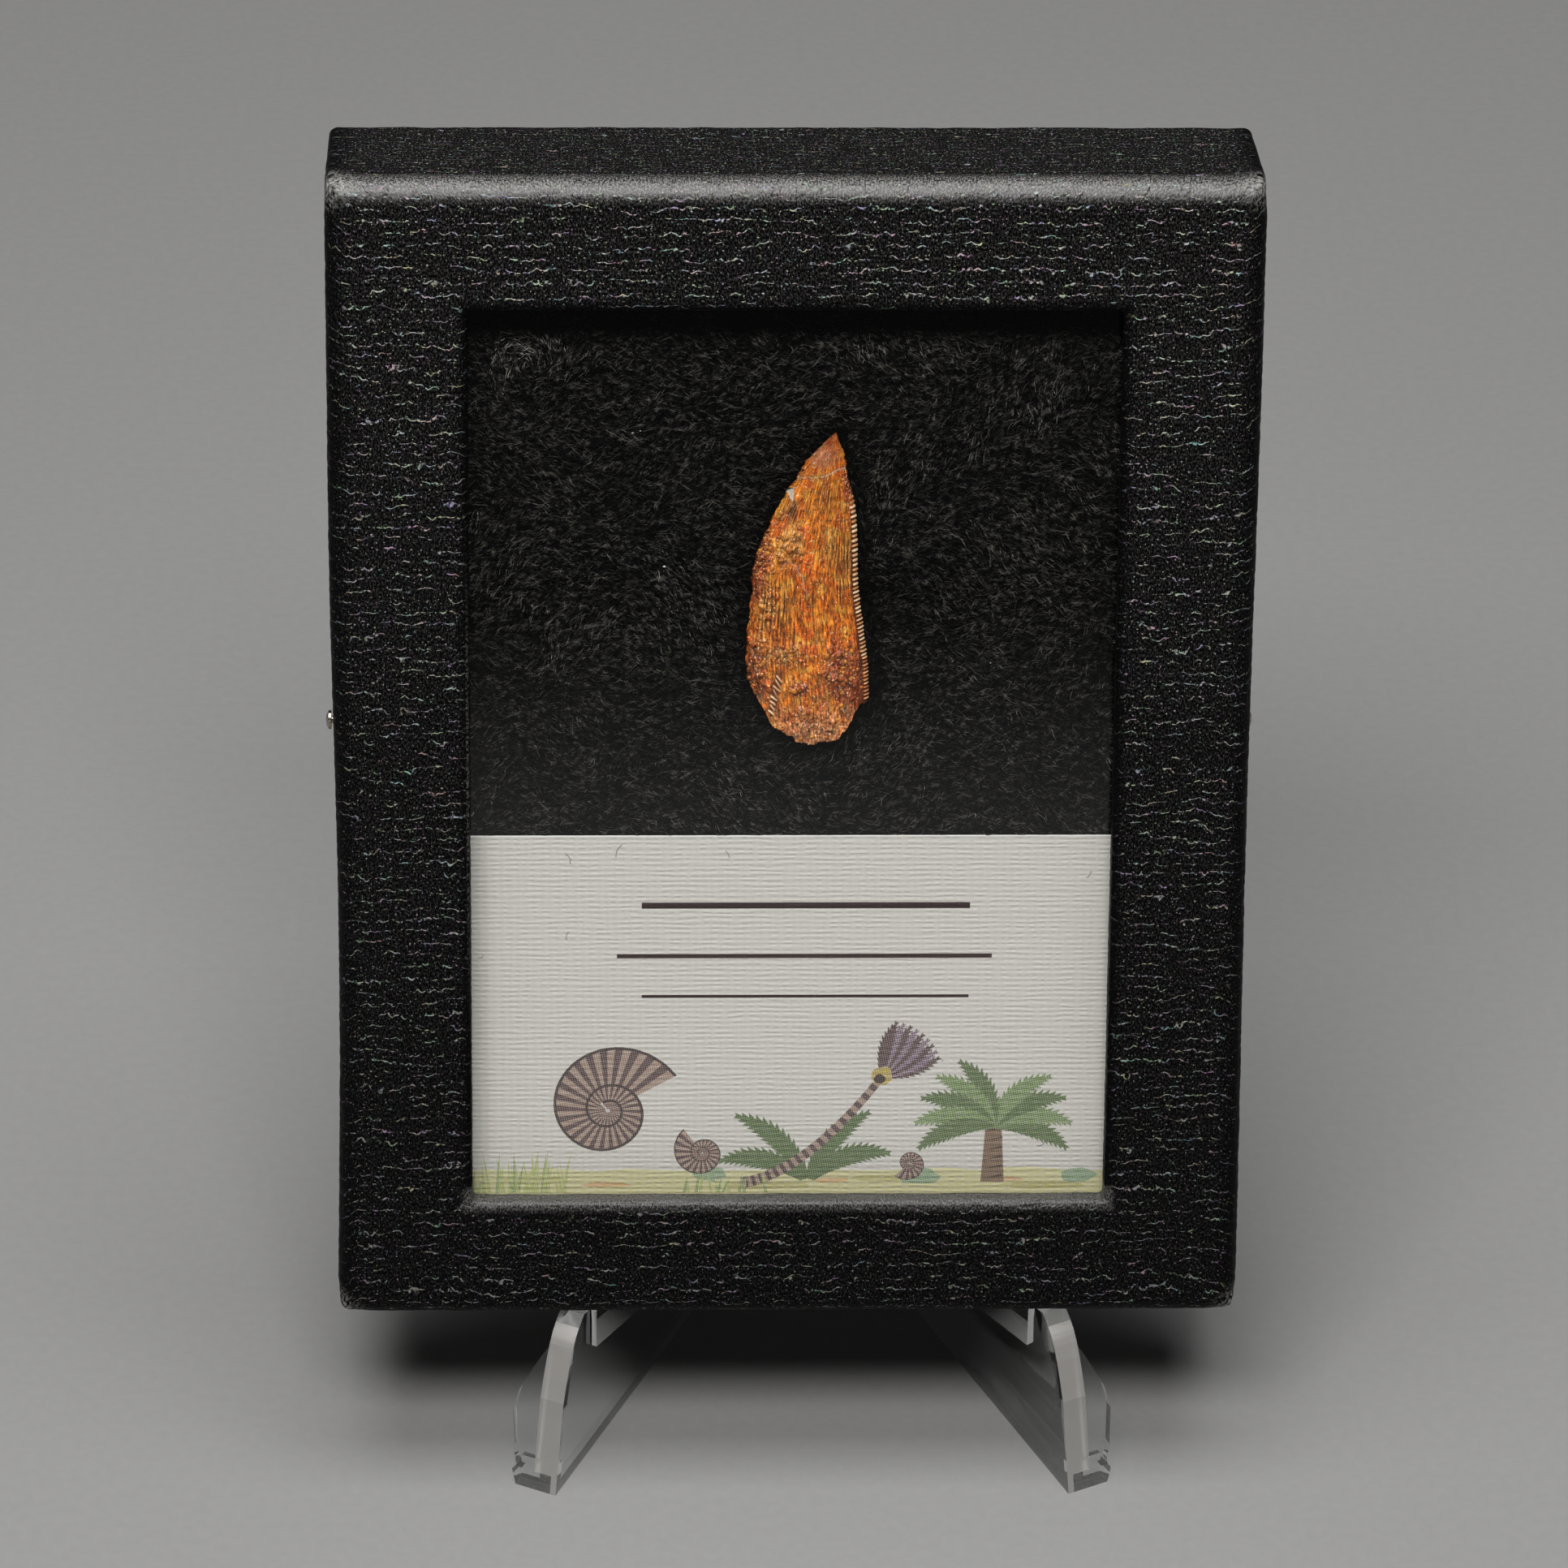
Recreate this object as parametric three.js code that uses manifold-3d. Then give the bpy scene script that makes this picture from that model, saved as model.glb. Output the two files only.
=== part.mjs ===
// A fossil dinosaur tooth in its window box, leaning on a clear moulded easel.
// Millimetres, +Z up, +Y to the back. The origin is on the table, under the middle of the whole object.

import * as THREE from "three";
import { mergeVertices } from "three/addons/utils/BufferGeometryUtils.js";
import Module from "manifold-3d";

const wasm = await Module();
wasm.setup();

// ---------------------------------------------------------------- driving dimensions

// The box: a specimen box of 3 1/4 x 4 1/4 x 3/4 inch, measured over its folded covering.
const BOX_WIDTH = 84.5;
const BOX_HEIGHT = 110;
const BOX_DEPTH = 19.5;
const BOX_LEAN = THREE.MathUtils.degToRad(15);
const FACE_ROUNDING = 2;
const SIDE_ROUNDING = 1.5;
const FACE_BOARD = 2.2;
const LID_WALL = 1.8;
const WINDOW_WIDTH = 58.8;
const WINDOW_HEIGHT = 86.2;
const WINDOW_DROP = 0.2;
const WINDOW_ROUNDING = 1.2;
const WINDOW_CORNER = 1;
const INNER_ROUNDING = 0.6;

// What lies behind the window, from the front to the back.
const FIT = 0.3;
const GLASS_THICKNESS = 1.5;
const CARD_THICKNESS = 0.35;
const CARD_WIDTH = 75;
const CARD_TOP = -8.4;
const CARD_HEIGHT = 42;
const TRAY_WALL = 1.2;
const TRAY_FLOOR = 1.5;
const TRAY_DEPTH = 13;

// The tooth: its height is the broken length, and its middle plane holds both cutting edges.
const TOOTH_HEIGHT = 30.2;
const TOOTH_SHIFT = 1.5;
const TOOTH_BASE = -0.4;
const TOOTH_FRONT_BULGE = 1.8;
const TOOTH_BACK_BULGE = 1.6;
const DENTICLE_PITCH = 0.3;
const DENTICLE_DEPTH = 0.16;
const SERRATION_START = 4.9;
const SERRATION_END = 26.8;

// The pins that hold lid and tray together.
const PIN_HEAD_RADIUS = 0.9;
const PIN_HEAD_THICKNESS = 0.5;
const PIN_SHANK_RADIUS = 0.35;
const PIN_HEIGHT = 1;

// The easel: two plates that meet at a spine behind the box, open to the front.
const PLATE_THICKNESS = 2.4;
const WEB_THICKNESS = 1.3;
const BAR_THICKNESS = 2.6;
const EASEL_HALF_WIDTH = 24.3;
const EASEL_DEPTH = 55;
const EASEL_SHIFT = 2.5;
const EASEL_HEIGHT = 70;
const SPINE_RADIUS = 2.2;
const SPINE_HEIGHT = 62;
const TOP_ROUNDING = 4;
const BOX_REST_HEIGHT = 18;
const BOX_SETBACK = 4.4;

// ---------------------------------------------------------------- making solids

// A closed mesh as a solid that can be joined and cut.
function solidOf(geometry) {
  const bare = geometry.index ? geometry.toNonIndexed() : geometry.clone();
  bare.deleteAttribute("normal");
  bare.deleteAttribute("uv");
  const merged = mergeVertices(bare, 1e-4);
  return new wasm.Manifold(
    new wasm.Mesh({
      numProp: 3,
      vertProperties: merged.attributes.position.array,
      triVerts: new Uint32Array(merged.index.array),
    }),
  );
}

function geometryOf(solid) {
  const mesh = solid.getMesh();
  const geometry = new THREE.BufferGeometry();
  geometry.setAttribute("position", new THREE.BufferAttribute(mesh.vertProperties, 3));
  geometry.setIndex(new THREE.BufferAttribute(mesh.triVerts, 1));
  geometry.computeVertexNormals();
  return geometry;
}

function joined(first, ...others) {
  return geometryOf(others.reduce((sum, next) => sum.add(solidOf(next)), solidOf(first)));
}

function cut(body, ...tools) {
  return geometryOf(tools.reduce((rest, tool) => rest.subtract(solidOf(tool)), solidOf(body)));
}

// The closed skin through rings of equally many points, each ring turning left about the way they advance.
function loft(rings) {
  const size = rings[0].length;
  const points = rings.flat();
  const faces = [];
  for (let r = 0; r + 1 < rings.length; r++) {
    for (let i = 0; i < size; i++) {
      const here = r * size + i;
      const beside = r * size + ((i + 1) % size);
      faces.push(here, beside, beside + size);
      faces.push(here, beside + size, here + size);
    }
  }
  const last = (rings.length - 1) * size;
  const middle = (ring) => ring.reduce((sum, p) => sum.add(p), new THREE.Vector3()).divideScalar(size);
  points.push(middle(rings[0]), middle(rings[rings.length - 1]));
  for (let i = 0; i < size; i++) {
    const next = (i + 1) % size;
    faces.push(points.length - 2, next, i);
    faces.push(points.length - 1, last + i, last + next);
  }
  const geometry = new THREE.BufferGeometry().setFromPoints(points);
  geometry.setIndex(faces);
  geometry.computeVertexNormals();
  return geometry;
}

// A rectangle with round corners, about (0, y), at the depth z.
function rectangleRing(width, height, radius, z, y = 0, steps = 4) {
  const ring = [];
  const corners = [[1, 1], [-1, 1], [-1, -1], [1, -1]];
  corners.forEach(([sx, sy], quarter) => {
    for (let i = 0; i <= steps; i++) {
      const angle = ((quarter + i / steps) * Math.PI) / 2;
      const px = sx * (width / 2 - radius) + radius * Math.cos(angle);
      const py = sy * (height / 2 - radius) + radius * Math.sin(angle);
      ring.push(new THREE.Vector3(px, py + y, z));
    }
  });
  return ring;
}

// A block with round upright corners, between two depths.
function block(width, height, radius, back, front, y = 0) {
  return loft([back, front].map((z) => rectangleRing(width, height, radius, z, y)));
}

// The curve x(y) through points listed from the lowest to the highest, smooth at each of them.
function through(points) {
  const slopes = points.map((_, i) => {
    const [x0, y0] = points[Math.max(i - 1, 0)];
    const [x1, y1] = points[Math.min(i + 1, points.length - 1)];
    return (x1 - x0) / (y1 - y0);
  });
  return (y) => {
    let i = 0;
    while (i < points.length - 2 && y > points[i + 1][1]) i++;
    const [x0, y0] = points[i];
    const [x1, y1] = points[i + 1];
    const span = y1 - y0;
    const t = THREE.MathUtils.clamp((y - y0) / span, 0, 1);
    const bend = t * (1 - t) * span * (slopes[i] * (1 - t) - slopes[i + 1] * t);
    return THREE.MathUtils.lerp(x0, x1, t * t * (3 - 2 * t)) + bend;
  };
}

// Repeatable random numbers from 0 to 1.
function seeded(seed) {
  let state = seed;
  return () => {
    state = (state * 16807) % 2147483647;
    return state / 2147483647;
  };
}

function piece(name, geometry, color, roughness, metalness, more = {}) {
  const material = new THREE.MeshStandardMaterial({ color, roughness, metalness, ...more });
  const mesh = new THREE.Mesh(geometry, material);
  mesh.name = name;
  return mesh;
}

// ---------------------------------------------------------------- lid, glass, card, tray and pins
// In the box, x runs to the right, y up the face and z out of it, from the middle of the front face.

const glassFront = -FACE_BOARD - FIT;
const glassBack = glassFront - GLASS_THICKNESS;
const cardFront = glassBack - FIT;
const cardBack = cardFront - CARD_THICKNESS;
const padFront = cardBack - FIT;
const cavityWidth = BOX_WIDTH - 2 * LID_WALL;
const cavityHeight = BOX_HEIGHT - 2 * LID_WALL;
const trayWidth = cavityWidth - 2 * FIT;
const trayHeight = cavityHeight - 2 * FIT;
const padWidth = trayWidth - 2 * TRAY_WALL - 2 * FIT;
const padHeight = trayHeight - 2 * TRAY_WALL - 2 * FIT;
const pinDepth = -BOX_DEPTH / 2;

// Rings that turn a sharp front edge into a quarter round: inwards on the lid, outwards round its window.
function roundedEdge(radius, ringAt) {
  const steps = 4;
  return Array.from({ length: steps + 1 }, (_, i) => {
    const angle = (i / steps) * (Math.PI / 2);
    return ringAt(radius * (1 - Math.cos(angle)), -radius + radius * Math.sin(angle));
  });
}

function pinHole(side, radius) {
  const drill = new THREE.CylinderGeometry(radius, radius, 4 * LID_WALL, 8);
  drill.rotateZ(Math.PI / 2);
  return drill.translate((side * BOX_WIDTH) / 2, PIN_HEIGHT, pinDepth);
}

function lid() {
  const lidRing = (inset, z) =>
    rectangleRing(BOX_WIDTH - 2 * inset, BOX_HEIGHT - 2 * inset, SIDE_ROUNDING, z);
  const outside = loft([lidRing(0, -BOX_DEPTH), ...roundedEdge(FACE_ROUNDING, lidRing)]);
  const hollow = block(cavityWidth, cavityHeight, INNER_ROUNDING, -BOX_DEPTH - 1, -FACE_BOARD);
  const windowRing = (grown, z) =>
    rectangleRing(
      WINDOW_WIDTH + 2 * grown,
      WINDOW_HEIGHT + 2 * grown,
      WINDOW_CORNER + grown,
      z,
      -WINDOW_DROP,
    );
  const opening = loft([
    windowRing(0, -2 * FACE_BOARD),
    ...roundedEdge(WINDOW_ROUNDING, windowRing),
    windowRing(WINDOW_ROUNDING, 1),
  ]);
  const holes = [-1, 1].map((side) => pinHole(side, PIN_SHANK_RADIUS + FIT));
  return cut(outside, hollow, opening, ...holes);
}

function baseTray() {
  const outside = block(trayWidth, trayHeight, INNER_ROUNDING, -BOX_DEPTH, -BOX_DEPTH + TRAY_DEPTH);
  const inside = block(
    trayWidth - 2 * TRAY_WALL,
    trayHeight - 2 * TRAY_WALL,
    INNER_ROUNDING,
    -BOX_DEPTH + TRAY_FLOOR,
    0,
  );
  const holes = [-1, 1].map((side) => pinHole(side, PIN_SHANK_RADIUS + FIT));
  return cut(outside, inside, ...holes);
}

// A round-headed pin: its head bears on the side of the lid and its shank goes through lid and tray.
function sidePin(side) {
  const profile = [
    [0, 0],
    [PIN_SHANK_RADIUS, 0],
    [PIN_SHANK_RADIUS, LID_WALL + FIT + TRAY_WALL],
    [PIN_HEAD_RADIUS, LID_WALL + FIT + TRAY_WALL],
    [PIN_HEAD_RADIUS, LID_WALL + FIT + TRAY_WALL + PIN_HEAD_THICKNESS * 0.5],
    [PIN_HEAD_RADIUS * 0.6, LID_WALL + FIT + TRAY_WALL + PIN_HEAD_THICKNESS * 0.9],
    [0, LID_WALL + FIT + TRAY_WALL + PIN_HEAD_THICKNESS],
  ];
  const pin = new THREE.LatheGeometry(profile.map(([r, h]) => new THREE.Vector2(r, h)), 12);
  const length = LID_WALL + FIT + TRAY_WALL;
  pin.rotateZ((-side * Math.PI) / 2);
  return pin.translate(side * (BOX_WIDTH / 2 - length + FIT / 3), PIN_HEIGHT, pinDepth);
}

// ---------------------------------------------------------------- tooth
// In the tooth, x runs across it, y up from its base to its tip and z out of its visible side.

// The serrated hind edge is nearly straight and the front edge bows out, so the tip points up and back.
const hindEdge = through([
  [5.8, -2], [5.66, 4.3], [5.5, 8.2], [5.05, 12], [4.6, 15.5], [4.5, 18.5], [4.3, 22.6], [3.62, 26.4],
  [3.1, 28.7], [2.5, 30.2],
]);
const frontEdge = through([
  [-4.4, -2], [-5.2, 4.9], [-5.75, 8.2], [-5.55, 12], [-5.25, 15.5], [-5.2, 17.2], [-4.5, 19.6],
  [-3.45, 22.2], [-2.3, 24.4], [-1.5, 25.7], [-0.5, 27.4], [0.7, 28.8], [1.6, 29.7], [2.25, 30.2],
]);

function bulgeAt(y) {
  return Math.sqrt(Math.max(1 - (y / (TOOTH_HEIGHT + 1)) ** 2, 0));
}

function toothSurface(x, y) {
  const left = frontEdge(y);
  const right = hindEdge(y);
  const across = THREE.MathUtils.clamp((2 * (x - left)) / (right - left) - 1, -1, 1);
  return TOOTH_FRONT_BULGE * bulgeAt(y) * (1 - across ** 2) ** 0.85;
}

// One cross-section: a lens with a sharp edge at each end, whose hind edge steps in and out as denticles.
function toothRing(y, notch) {
  const steps = 7;
  const left = frontEdge(y);
  const right = hindEdge(y);
  const ring = [];
  for (let i = 0; i <= 2 * steps - 1; i++) {
    const turn = (i / steps) * Math.PI;
    const across = -Math.cos(turn);
    const isFront = Math.sin(turn) >= 0;
    const bulge = (isFront ? TOOTH_FRONT_BULGE : -TOOTH_BACK_BULGE) * bulgeAt(y);
    const x = THREE.MathUtils.lerp(left, right, (across + 1) / 2) - (i === steps ? notch : 0);
    ring.push(new THREE.Vector3(x, y, bulge * Math.max(1 - across ** 2, 0) ** 0.85));
  }
  return ring;
}

function toothBlade() {
  const rings = [];
  for (const y of [-2, 0, 2, 3.5]) rings.push(toothRing(y, 0));
  const teeth = Math.round((SERRATION_END - SERRATION_START) / DENTICLE_PITCH);
  for (let i = 0; i < teeth; i++) {
    const foot = SERRATION_START + i * DENTICLE_PITCH;
    rings.push(toothRing(foot, DENTICLE_DEPTH));
    rings.push(toothRing(foot + DENTICLE_PITCH / 2, 0));
  }
  const plainRows = 9;
  for (let i = 0; i <= plainRows; i++) {
    const share = 1 - (1 - i / plainRows) ** 1.6;
    rings.push(toothRing(THREE.MathUtils.lerp(SERRATION_END, TOOTH_HEIGHT, share), 0));
  }
  return loft(rings);
}

// The break across the base, from the front edge to the hind edge: a ragged line, cut straight back.
function baseBreak() {
  const corners = [
    [-7, 5.4], [-4.65, 4.7], [-3.4, 2.2], [-1.25, 0.95], [0.85, 0.4], [3.65, 1.75], [4.8, 4.1], [6.6, 4.5],
  ];
  const random = seeded(11);
  const jags = 4;
  const edge = new THREE.Shape();
  edge.moveTo(-7, -3);
  for (let c = 0; c + 1 < corners.length; c++) {
    for (let j = 0; j < jags; j++) {
      const [x0, y0] = corners[c];
      const [x1, y1] = corners[c + 1];
      const along = j / jags;
      const chip = (j % 2 ? 1 : -1) * (0.1 + 0.2 * random());
      edge.lineTo(THREE.MathUtils.lerp(x0, x1, along), THREE.MathUtils.lerp(y0, y1, along) + chip);
    }
  }
  edge.lineTo(7, 4.5);
  edge.lineTo(7, -3);
  edge.closePath();
  const tool = new THREE.ExtrudeGeometry(edge, { depth: 8, bevelEnabled: false });
  return tool.translate(0, 0, -4);
}

// Grains of rock cemented to the enamel, in the bands where they lie thick:
// the band's middle x and y, how far it spreads along x and y, and its number of grains.
const GRAIN_BANDS = [
  [-4, 19.2, 0.9, 2.9, 9],
  [-2.1, 19, 1.1, 1.5, 4],
  [-3.4, 15.1, 0.9, 1.9, 5],
  [-4.3, 8.4, 1, 2.7, 6],
  [-1.7, 7.4, 1.9, 1.8, 5],
  [3.6, 7.1, 1.7, 2.6, 8],
  [0.3, 2.6, 2.6, 1.2, 4],
];
const GRAIN_LEAST = 0.28;
const GRAIN_RANGE = 0.28;
const GRAIN_SINK = 0.1;
const ROUND_GRAIN = 0.42;

function grains() {
  const random = seeded(29);
  const lumps = [];
  for (const [x, y, spreadX, spreadY, count] of GRAIN_BANDS) {
    for (let i = 0; i < count; i++) {
      const gy = y + spreadY * (2 * random() - 1);
      const aside = x + spreadX * (2 * random() - 1);
      const gx = THREE.MathUtils.clamp(aside, frontEdge(gy) + 0.3, hindEdge(gy) - 0.4);
      const radius = GRAIN_LEAST + GRAIN_RANGE * random();
      const lump = new THREE.IcosahedronGeometry(radius, radius > ROUND_GRAIN ? 1 : 0);
      lump.scale(1, 1.15, 0.75);
      lump.rotateZ(Math.PI * random());
      lumps.push(lump.translate(gx, gy, toothSurface(gx, gy) - GRAIN_SINK));
    }
  }
  return lumps;
}

const toothMiddle = cardFront - TOOTH_FRONT_BULGE - 0.25;

function tooth() {
  const blade = joined(toothBlade(), ...grains());
  return cut(blade, baseBreak()).translate(TOOTH_SHIFT, TOOTH_BASE, toothMiddle);
}

// ---------------------------------------------------------------- plush pad

// The hollow that the tooth has pressed into the pad: its own outline, wider at the mouth than at the floor.
function toothHollow() {
  const levels = [0, 4, 8, 14, 20, 25, 29, TOOTH_HEIGHT];
  const centre = new THREE.Vector2(0, TOOTH_HEIGHT / 2);
  const outlineRing = (margin, z) => {
    const right = levels.map((y) => new THREE.Vector2(hindEdge(y), y));
    const left = levels.map((y) => new THREE.Vector2(frontEdge(y), y)).reverse();
    return [...right, ...left].map((p) => {
      const away = p.clone().sub(centre);
      away.x += Math.sign(away.x) * margin;
      away.y += Math.sign(away.y) * margin * Math.min(1, Math.abs(away.y) / 8);
      away.add(centre);
      return new THREE.Vector3(away.x + TOOTH_SHIFT, away.y + TOOTH_BASE, z);
    });
  };
  const floor = toothMiddle - TOOTH_BACK_BULGE - FIT;
  return loft([outlineRing(0.6, floor), outlineRing(1, toothMiddle), outlineRing(2.6, padFront + 0.5)]);
}

function plushPad() {
  const pad = block(padWidth, padHeight, INNER_ROUNDING, -BOX_DEPTH + TRAY_FLOOR + FIT, padFront);
  return cut(pad, toothHollow());
}

// ---------------------------------------------------------------- easel
// On a plate, s runs from its front foot to the spine, z up, and w outwards from its inner face.

const plateTurn = Math.atan2(EASEL_HALF_WIDTH, EASEL_DEPTH - 2 * SPINE_RADIUS);
const alongPlate = new THREE.Vector3(-Math.sin(plateTurn), Math.cos(plateTurn), 0);
const outwards = new THREE.Vector3(Math.cos(plateTurn), Math.sin(plateTurn), 0);
const upwards = new THREE.Vector3(0, 0, 1);
const frontFoot = new THREE.Vector3(EASEL_HALF_WIDTH, -EASEL_DEPTH / 2, 0);
const spineY = EASEL_DEPTH / 2 - SPINE_RADIUS;

// Heights on the plate of the planes that the box's underside and back lie in, one fit away from them.
function undersideHeight(s) {
  const y = s * Math.cos(plateTurn) - BOX_SETBACK;
  return BOX_REST_HEIGHT - y * Math.tan(BOX_LEAN) - FIT / Math.cos(BOX_LEAN);
}

function backSetting(z) {
  const y = (BOX_DEPTH + FIT) / Math.cos(BOX_LEAN) + (z - BOX_REST_HEIGHT) * Math.tan(BOX_LEAN);
  return (y + BOX_SETBACK) / Math.cos(plateTurn);
}

function platePlan() {
  const lipFront = 6.3;
  const lipBack = 8.2;
  const notch = [9.05, 11.5];
  const ledgeFall = Math.tan(BOX_LEAN) * Math.cos(plateTurn);
  const ledgeEnd = 23.4;
  const ledgeEndHeight = notch[1] - ledgeFall * (ledgeEnd - notch[0]);
  const spineSetting = (spineY + EASEL_DEPTH / 2) / Math.cos(plateTurn);
  const plan = new THREE.Shape();
  plan.moveTo(0, 0);
  plan.lineTo(1.8, 9.8);
  plan.quadraticCurveTo(3.6, 15.4, 5.2, 16.5);
  plan.lineTo(lipFront, undersideHeight(lipFront));
  plan.lineTo(lipBack, undersideHeight(lipBack));
  plan.quadraticCurveTo(notch[0], undersideHeight(lipBack), notch[0], undersideHeight(lipBack) - 1.2);
  plan.lineTo(notch[0], notch[1]);
  plan.lineTo(ledgeEnd, ledgeEndHeight);
  plan.quadraticCurveTo(backSetting(ledgeEndHeight), ledgeEndHeight - 0.4, backSetting(10), 10);
  const top = backSetting(EASEL_HEIGHT);
  const shoulder = EASEL_HEIGHT - TOP_ROUNDING;
  plan.lineTo(backSetting(shoulder), shoulder);
  plan.quadraticCurveTo(top, EASEL_HEIGHT, top + TOP_ROUNDING, EASEL_HEIGHT - TOP_ROUNDING / 4);
  plan.lineTo(spineSetting, SPINE_HEIGHT);
  plan.lineTo(spineSetting, 0);
  plan.closePath();
  return plan;
}

function extruded(shape, depth) {
  return new THREE.ExtrudeGeometry(shape, { depth, bevelEnabled: false, curveSegments: 5 });
}

// A web outside the foot of the plate, and the thicker bar along its bottom that stands on the table.
function wing(outline, thickness, back, lean) {
  const shape = new THREE.Shape(outline.map(([w, z]) => new THREE.Vector2(w, z)));
  const tilted = upwards.clone().addScaledVector(alongPlate, lean);
  const frame = new THREE.Matrix4().makeBasis(outwards, tilted, alongPlate.clone().negate());
  frame.setPosition(frontFoot.clone().addScaledVector(alongPlate, back));
  return extruded(shape, thickness).applyMatrix4(frame);
}

// Their outlines, as distances outwards from the plate's inner face and heights. The web leans back more
// steeply than the front edge, so that it ends behind the edge's bend.
const FRONT_LEAN = 0.18;
const WEB_LEAN = 0.27;
const WEB_SETBACK = 0.6;
const WEB_OUTLINE = [[1, 0], [4.2, 0], [5.1, 3.2], [5.6, 6.8], [5.2, 9], [3.6, 12.4], [1.6, 16], [1, 16]];
const BAR_OUTLINE = [[0.6, 0], [4.2, 0], [4.7, 1.5], [4.4, 1.9], [0.6, 1.9]];

function easelSide() {
  const frame = new THREE.Matrix4().makeBasis(alongPlate, upwards, outwards).setPosition(frontFoot);
  const plate = extruded(platePlan(), PLATE_THICKNESS).applyMatrix4(frame);
  const web = wing(WEB_OUTLINE, WEB_THICKNESS, WEB_THICKNESS + WEB_SETBACK, WEB_LEAN);
  const bar = wing(BAR_OUTLINE, BAR_THICKNESS, BAR_THICKNESS, FRONT_LEAN);
  return joined(plate, web, bar);
}

// The same mesh on the other side of the easel, with its faces turned to point out again.
function mirrored(geometry) {
  const twin = geometry.clone().scale(-1, 1, 1);
  const index = twin.index.array;
  for (let i = 0; i < index.length; i += 3) [index[i + 1], index[i + 2]] = [index[i + 2], index[i + 1]];
  return twin;
}

function easelStand() {
  const side = easelSide();
  const spine = new THREE.CylinderGeometry(SPINE_RADIUS, SPINE_RADIUS, SPINE_HEIGHT, 16);
  spine.rotateX(Math.PI / 2).translate(0, spineY, SPINE_HEIGHT / 2);
  return joined(side, mirrored(side), spine);
}

// ---------------------------------------------------------------- the object

const box = new THREE.Group();
box.rotation.x = Math.PI / 2 - BOX_LEAN;
box.position.set(
  0,
  -EASEL_DEPTH / 2 + BOX_SETBACK + (BOX_HEIGHT / 2) * Math.sin(BOX_LEAN),
  BOX_REST_HEIGHT + (BOX_HEIGHT / 2) * Math.cos(BOX_LEAN),
);
box.add(piece("lid", lid(), 0x1b1a1a, 0.5, 0));
const pane = block(trayWidth, trayHeight, INNER_ROUNDING, glassBack, glassFront);
box.add(piece("glass_pane", pane, 0xeef4f2, 0.02, 0, { transparent: true, opacity: 0.12 }));
const cardMiddle = CARD_TOP - CARD_HEIGHT / 2;
const card = block(CARD_WIDTH, CARD_HEIGHT, INNER_ROUNDING, cardBack, cardFront, cardMiddle);
box.add(piece("label_card", card, 0xc6c0bb, 0.75, 0));
box.add(piece("tooth", tooth(), 0xb06428, 0.35, 0));
box.add(piece("plush_pad", plushPad(), 0x151413, 0.95, 0));
box.add(piece("base_tray", baseTray(), 0x1b1a1a, 0.6, 0));
box.add(piece("side_pin_left", sidePin(-1), 0xc9c5bd, 0.25, 1));
box.add(piece("side_pin_right", sidePin(1), 0xc9c5bd, 0.25, 1));

const easel = new THREE.Group();
easel.position.x = EASEL_SHIFT;
easel.add(piece("easel_stand", easelStand(), 0xe9ecea, 0.06, 0, { transparent: true, opacity: 0.3 }));

const object = new THREE.Group();
object.add(box, easel);

export default object;
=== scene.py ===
# %% [markdown]
# # A dinosaur tooth in a display box, on a clear easel
#
# The object is a small shop display: a flat card box wrapped in black leather-like paper, with a
# window in its lid. Behind the glass lie a bed of black plush, the tooth, and a printed card. The
# box leans back on a little easel moulded in clear plastic.
# The solids come in as a fixed frame. Each cell below dresses one of them.

import math
import random

import bmesh
import bpy
import numpy as np
from mathutils import Matrix, Vector, noise
from mathutils.geometry import delaunay_2d_cdt


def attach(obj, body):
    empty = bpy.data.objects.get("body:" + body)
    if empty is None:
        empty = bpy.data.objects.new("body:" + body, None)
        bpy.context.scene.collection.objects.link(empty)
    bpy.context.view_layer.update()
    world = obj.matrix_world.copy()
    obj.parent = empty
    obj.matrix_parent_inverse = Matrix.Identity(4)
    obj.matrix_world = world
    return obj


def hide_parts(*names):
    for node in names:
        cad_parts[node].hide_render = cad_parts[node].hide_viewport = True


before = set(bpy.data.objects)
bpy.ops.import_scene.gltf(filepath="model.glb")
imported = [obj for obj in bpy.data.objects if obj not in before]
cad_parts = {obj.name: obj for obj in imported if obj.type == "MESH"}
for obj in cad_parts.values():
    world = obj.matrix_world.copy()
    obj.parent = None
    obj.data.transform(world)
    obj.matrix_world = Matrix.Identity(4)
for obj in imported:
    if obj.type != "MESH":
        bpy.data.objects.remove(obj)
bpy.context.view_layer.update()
print("nodes:", ", ".join(sorted(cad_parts)))

# %% [markdown]
# ## The box has its own frame
#
# The box leans back by 15 degrees, so its pieces are easiest to build flat: x across, y up the
# face and z out of it, in millimetres from the middle of the front face. One matrix then carries
# a finished mesh to its place in metres. The objects themselves stay at the origin, so that a
# pattern on Object coordinates stays put when the model is exported.

# %% The box frame and its depths
LEAN = math.radians(15)
FACE_CENTRE = Vector((0, -8.865, 71.126))
BOX_TURN = Matrix.Rotation(math.radians(90) - LEAN, 4, "X")
TO_ROW = Matrix.Scale(0.001, 4) @ Matrix.Translation(FACE_CENTRE) @ BOX_TURN

BOX_WIDTH, BOX_HEIGHT, BOX_DEPTH = 84.5, 110, 19.5
WINDOW_WIDTH, WINDOW_HEIGHT, WINDOW_DROP = 58.8, 86.2, 0.2
GLASS_BACK = -4.0
CARD_FRONT, CARD_BACK, CARD_TOP = -4.3, -4.65, -8.4
PAD_FRONT, PAD_BACK, PAD_WIDTH, PAD_HEIGHT = -4.95, -17.7, 77.3, 102.8
TOOTH_SHIFT, TOOTH_LIFT, TOOTH_PLANE = 1.5, -0.4, -6.35

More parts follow.
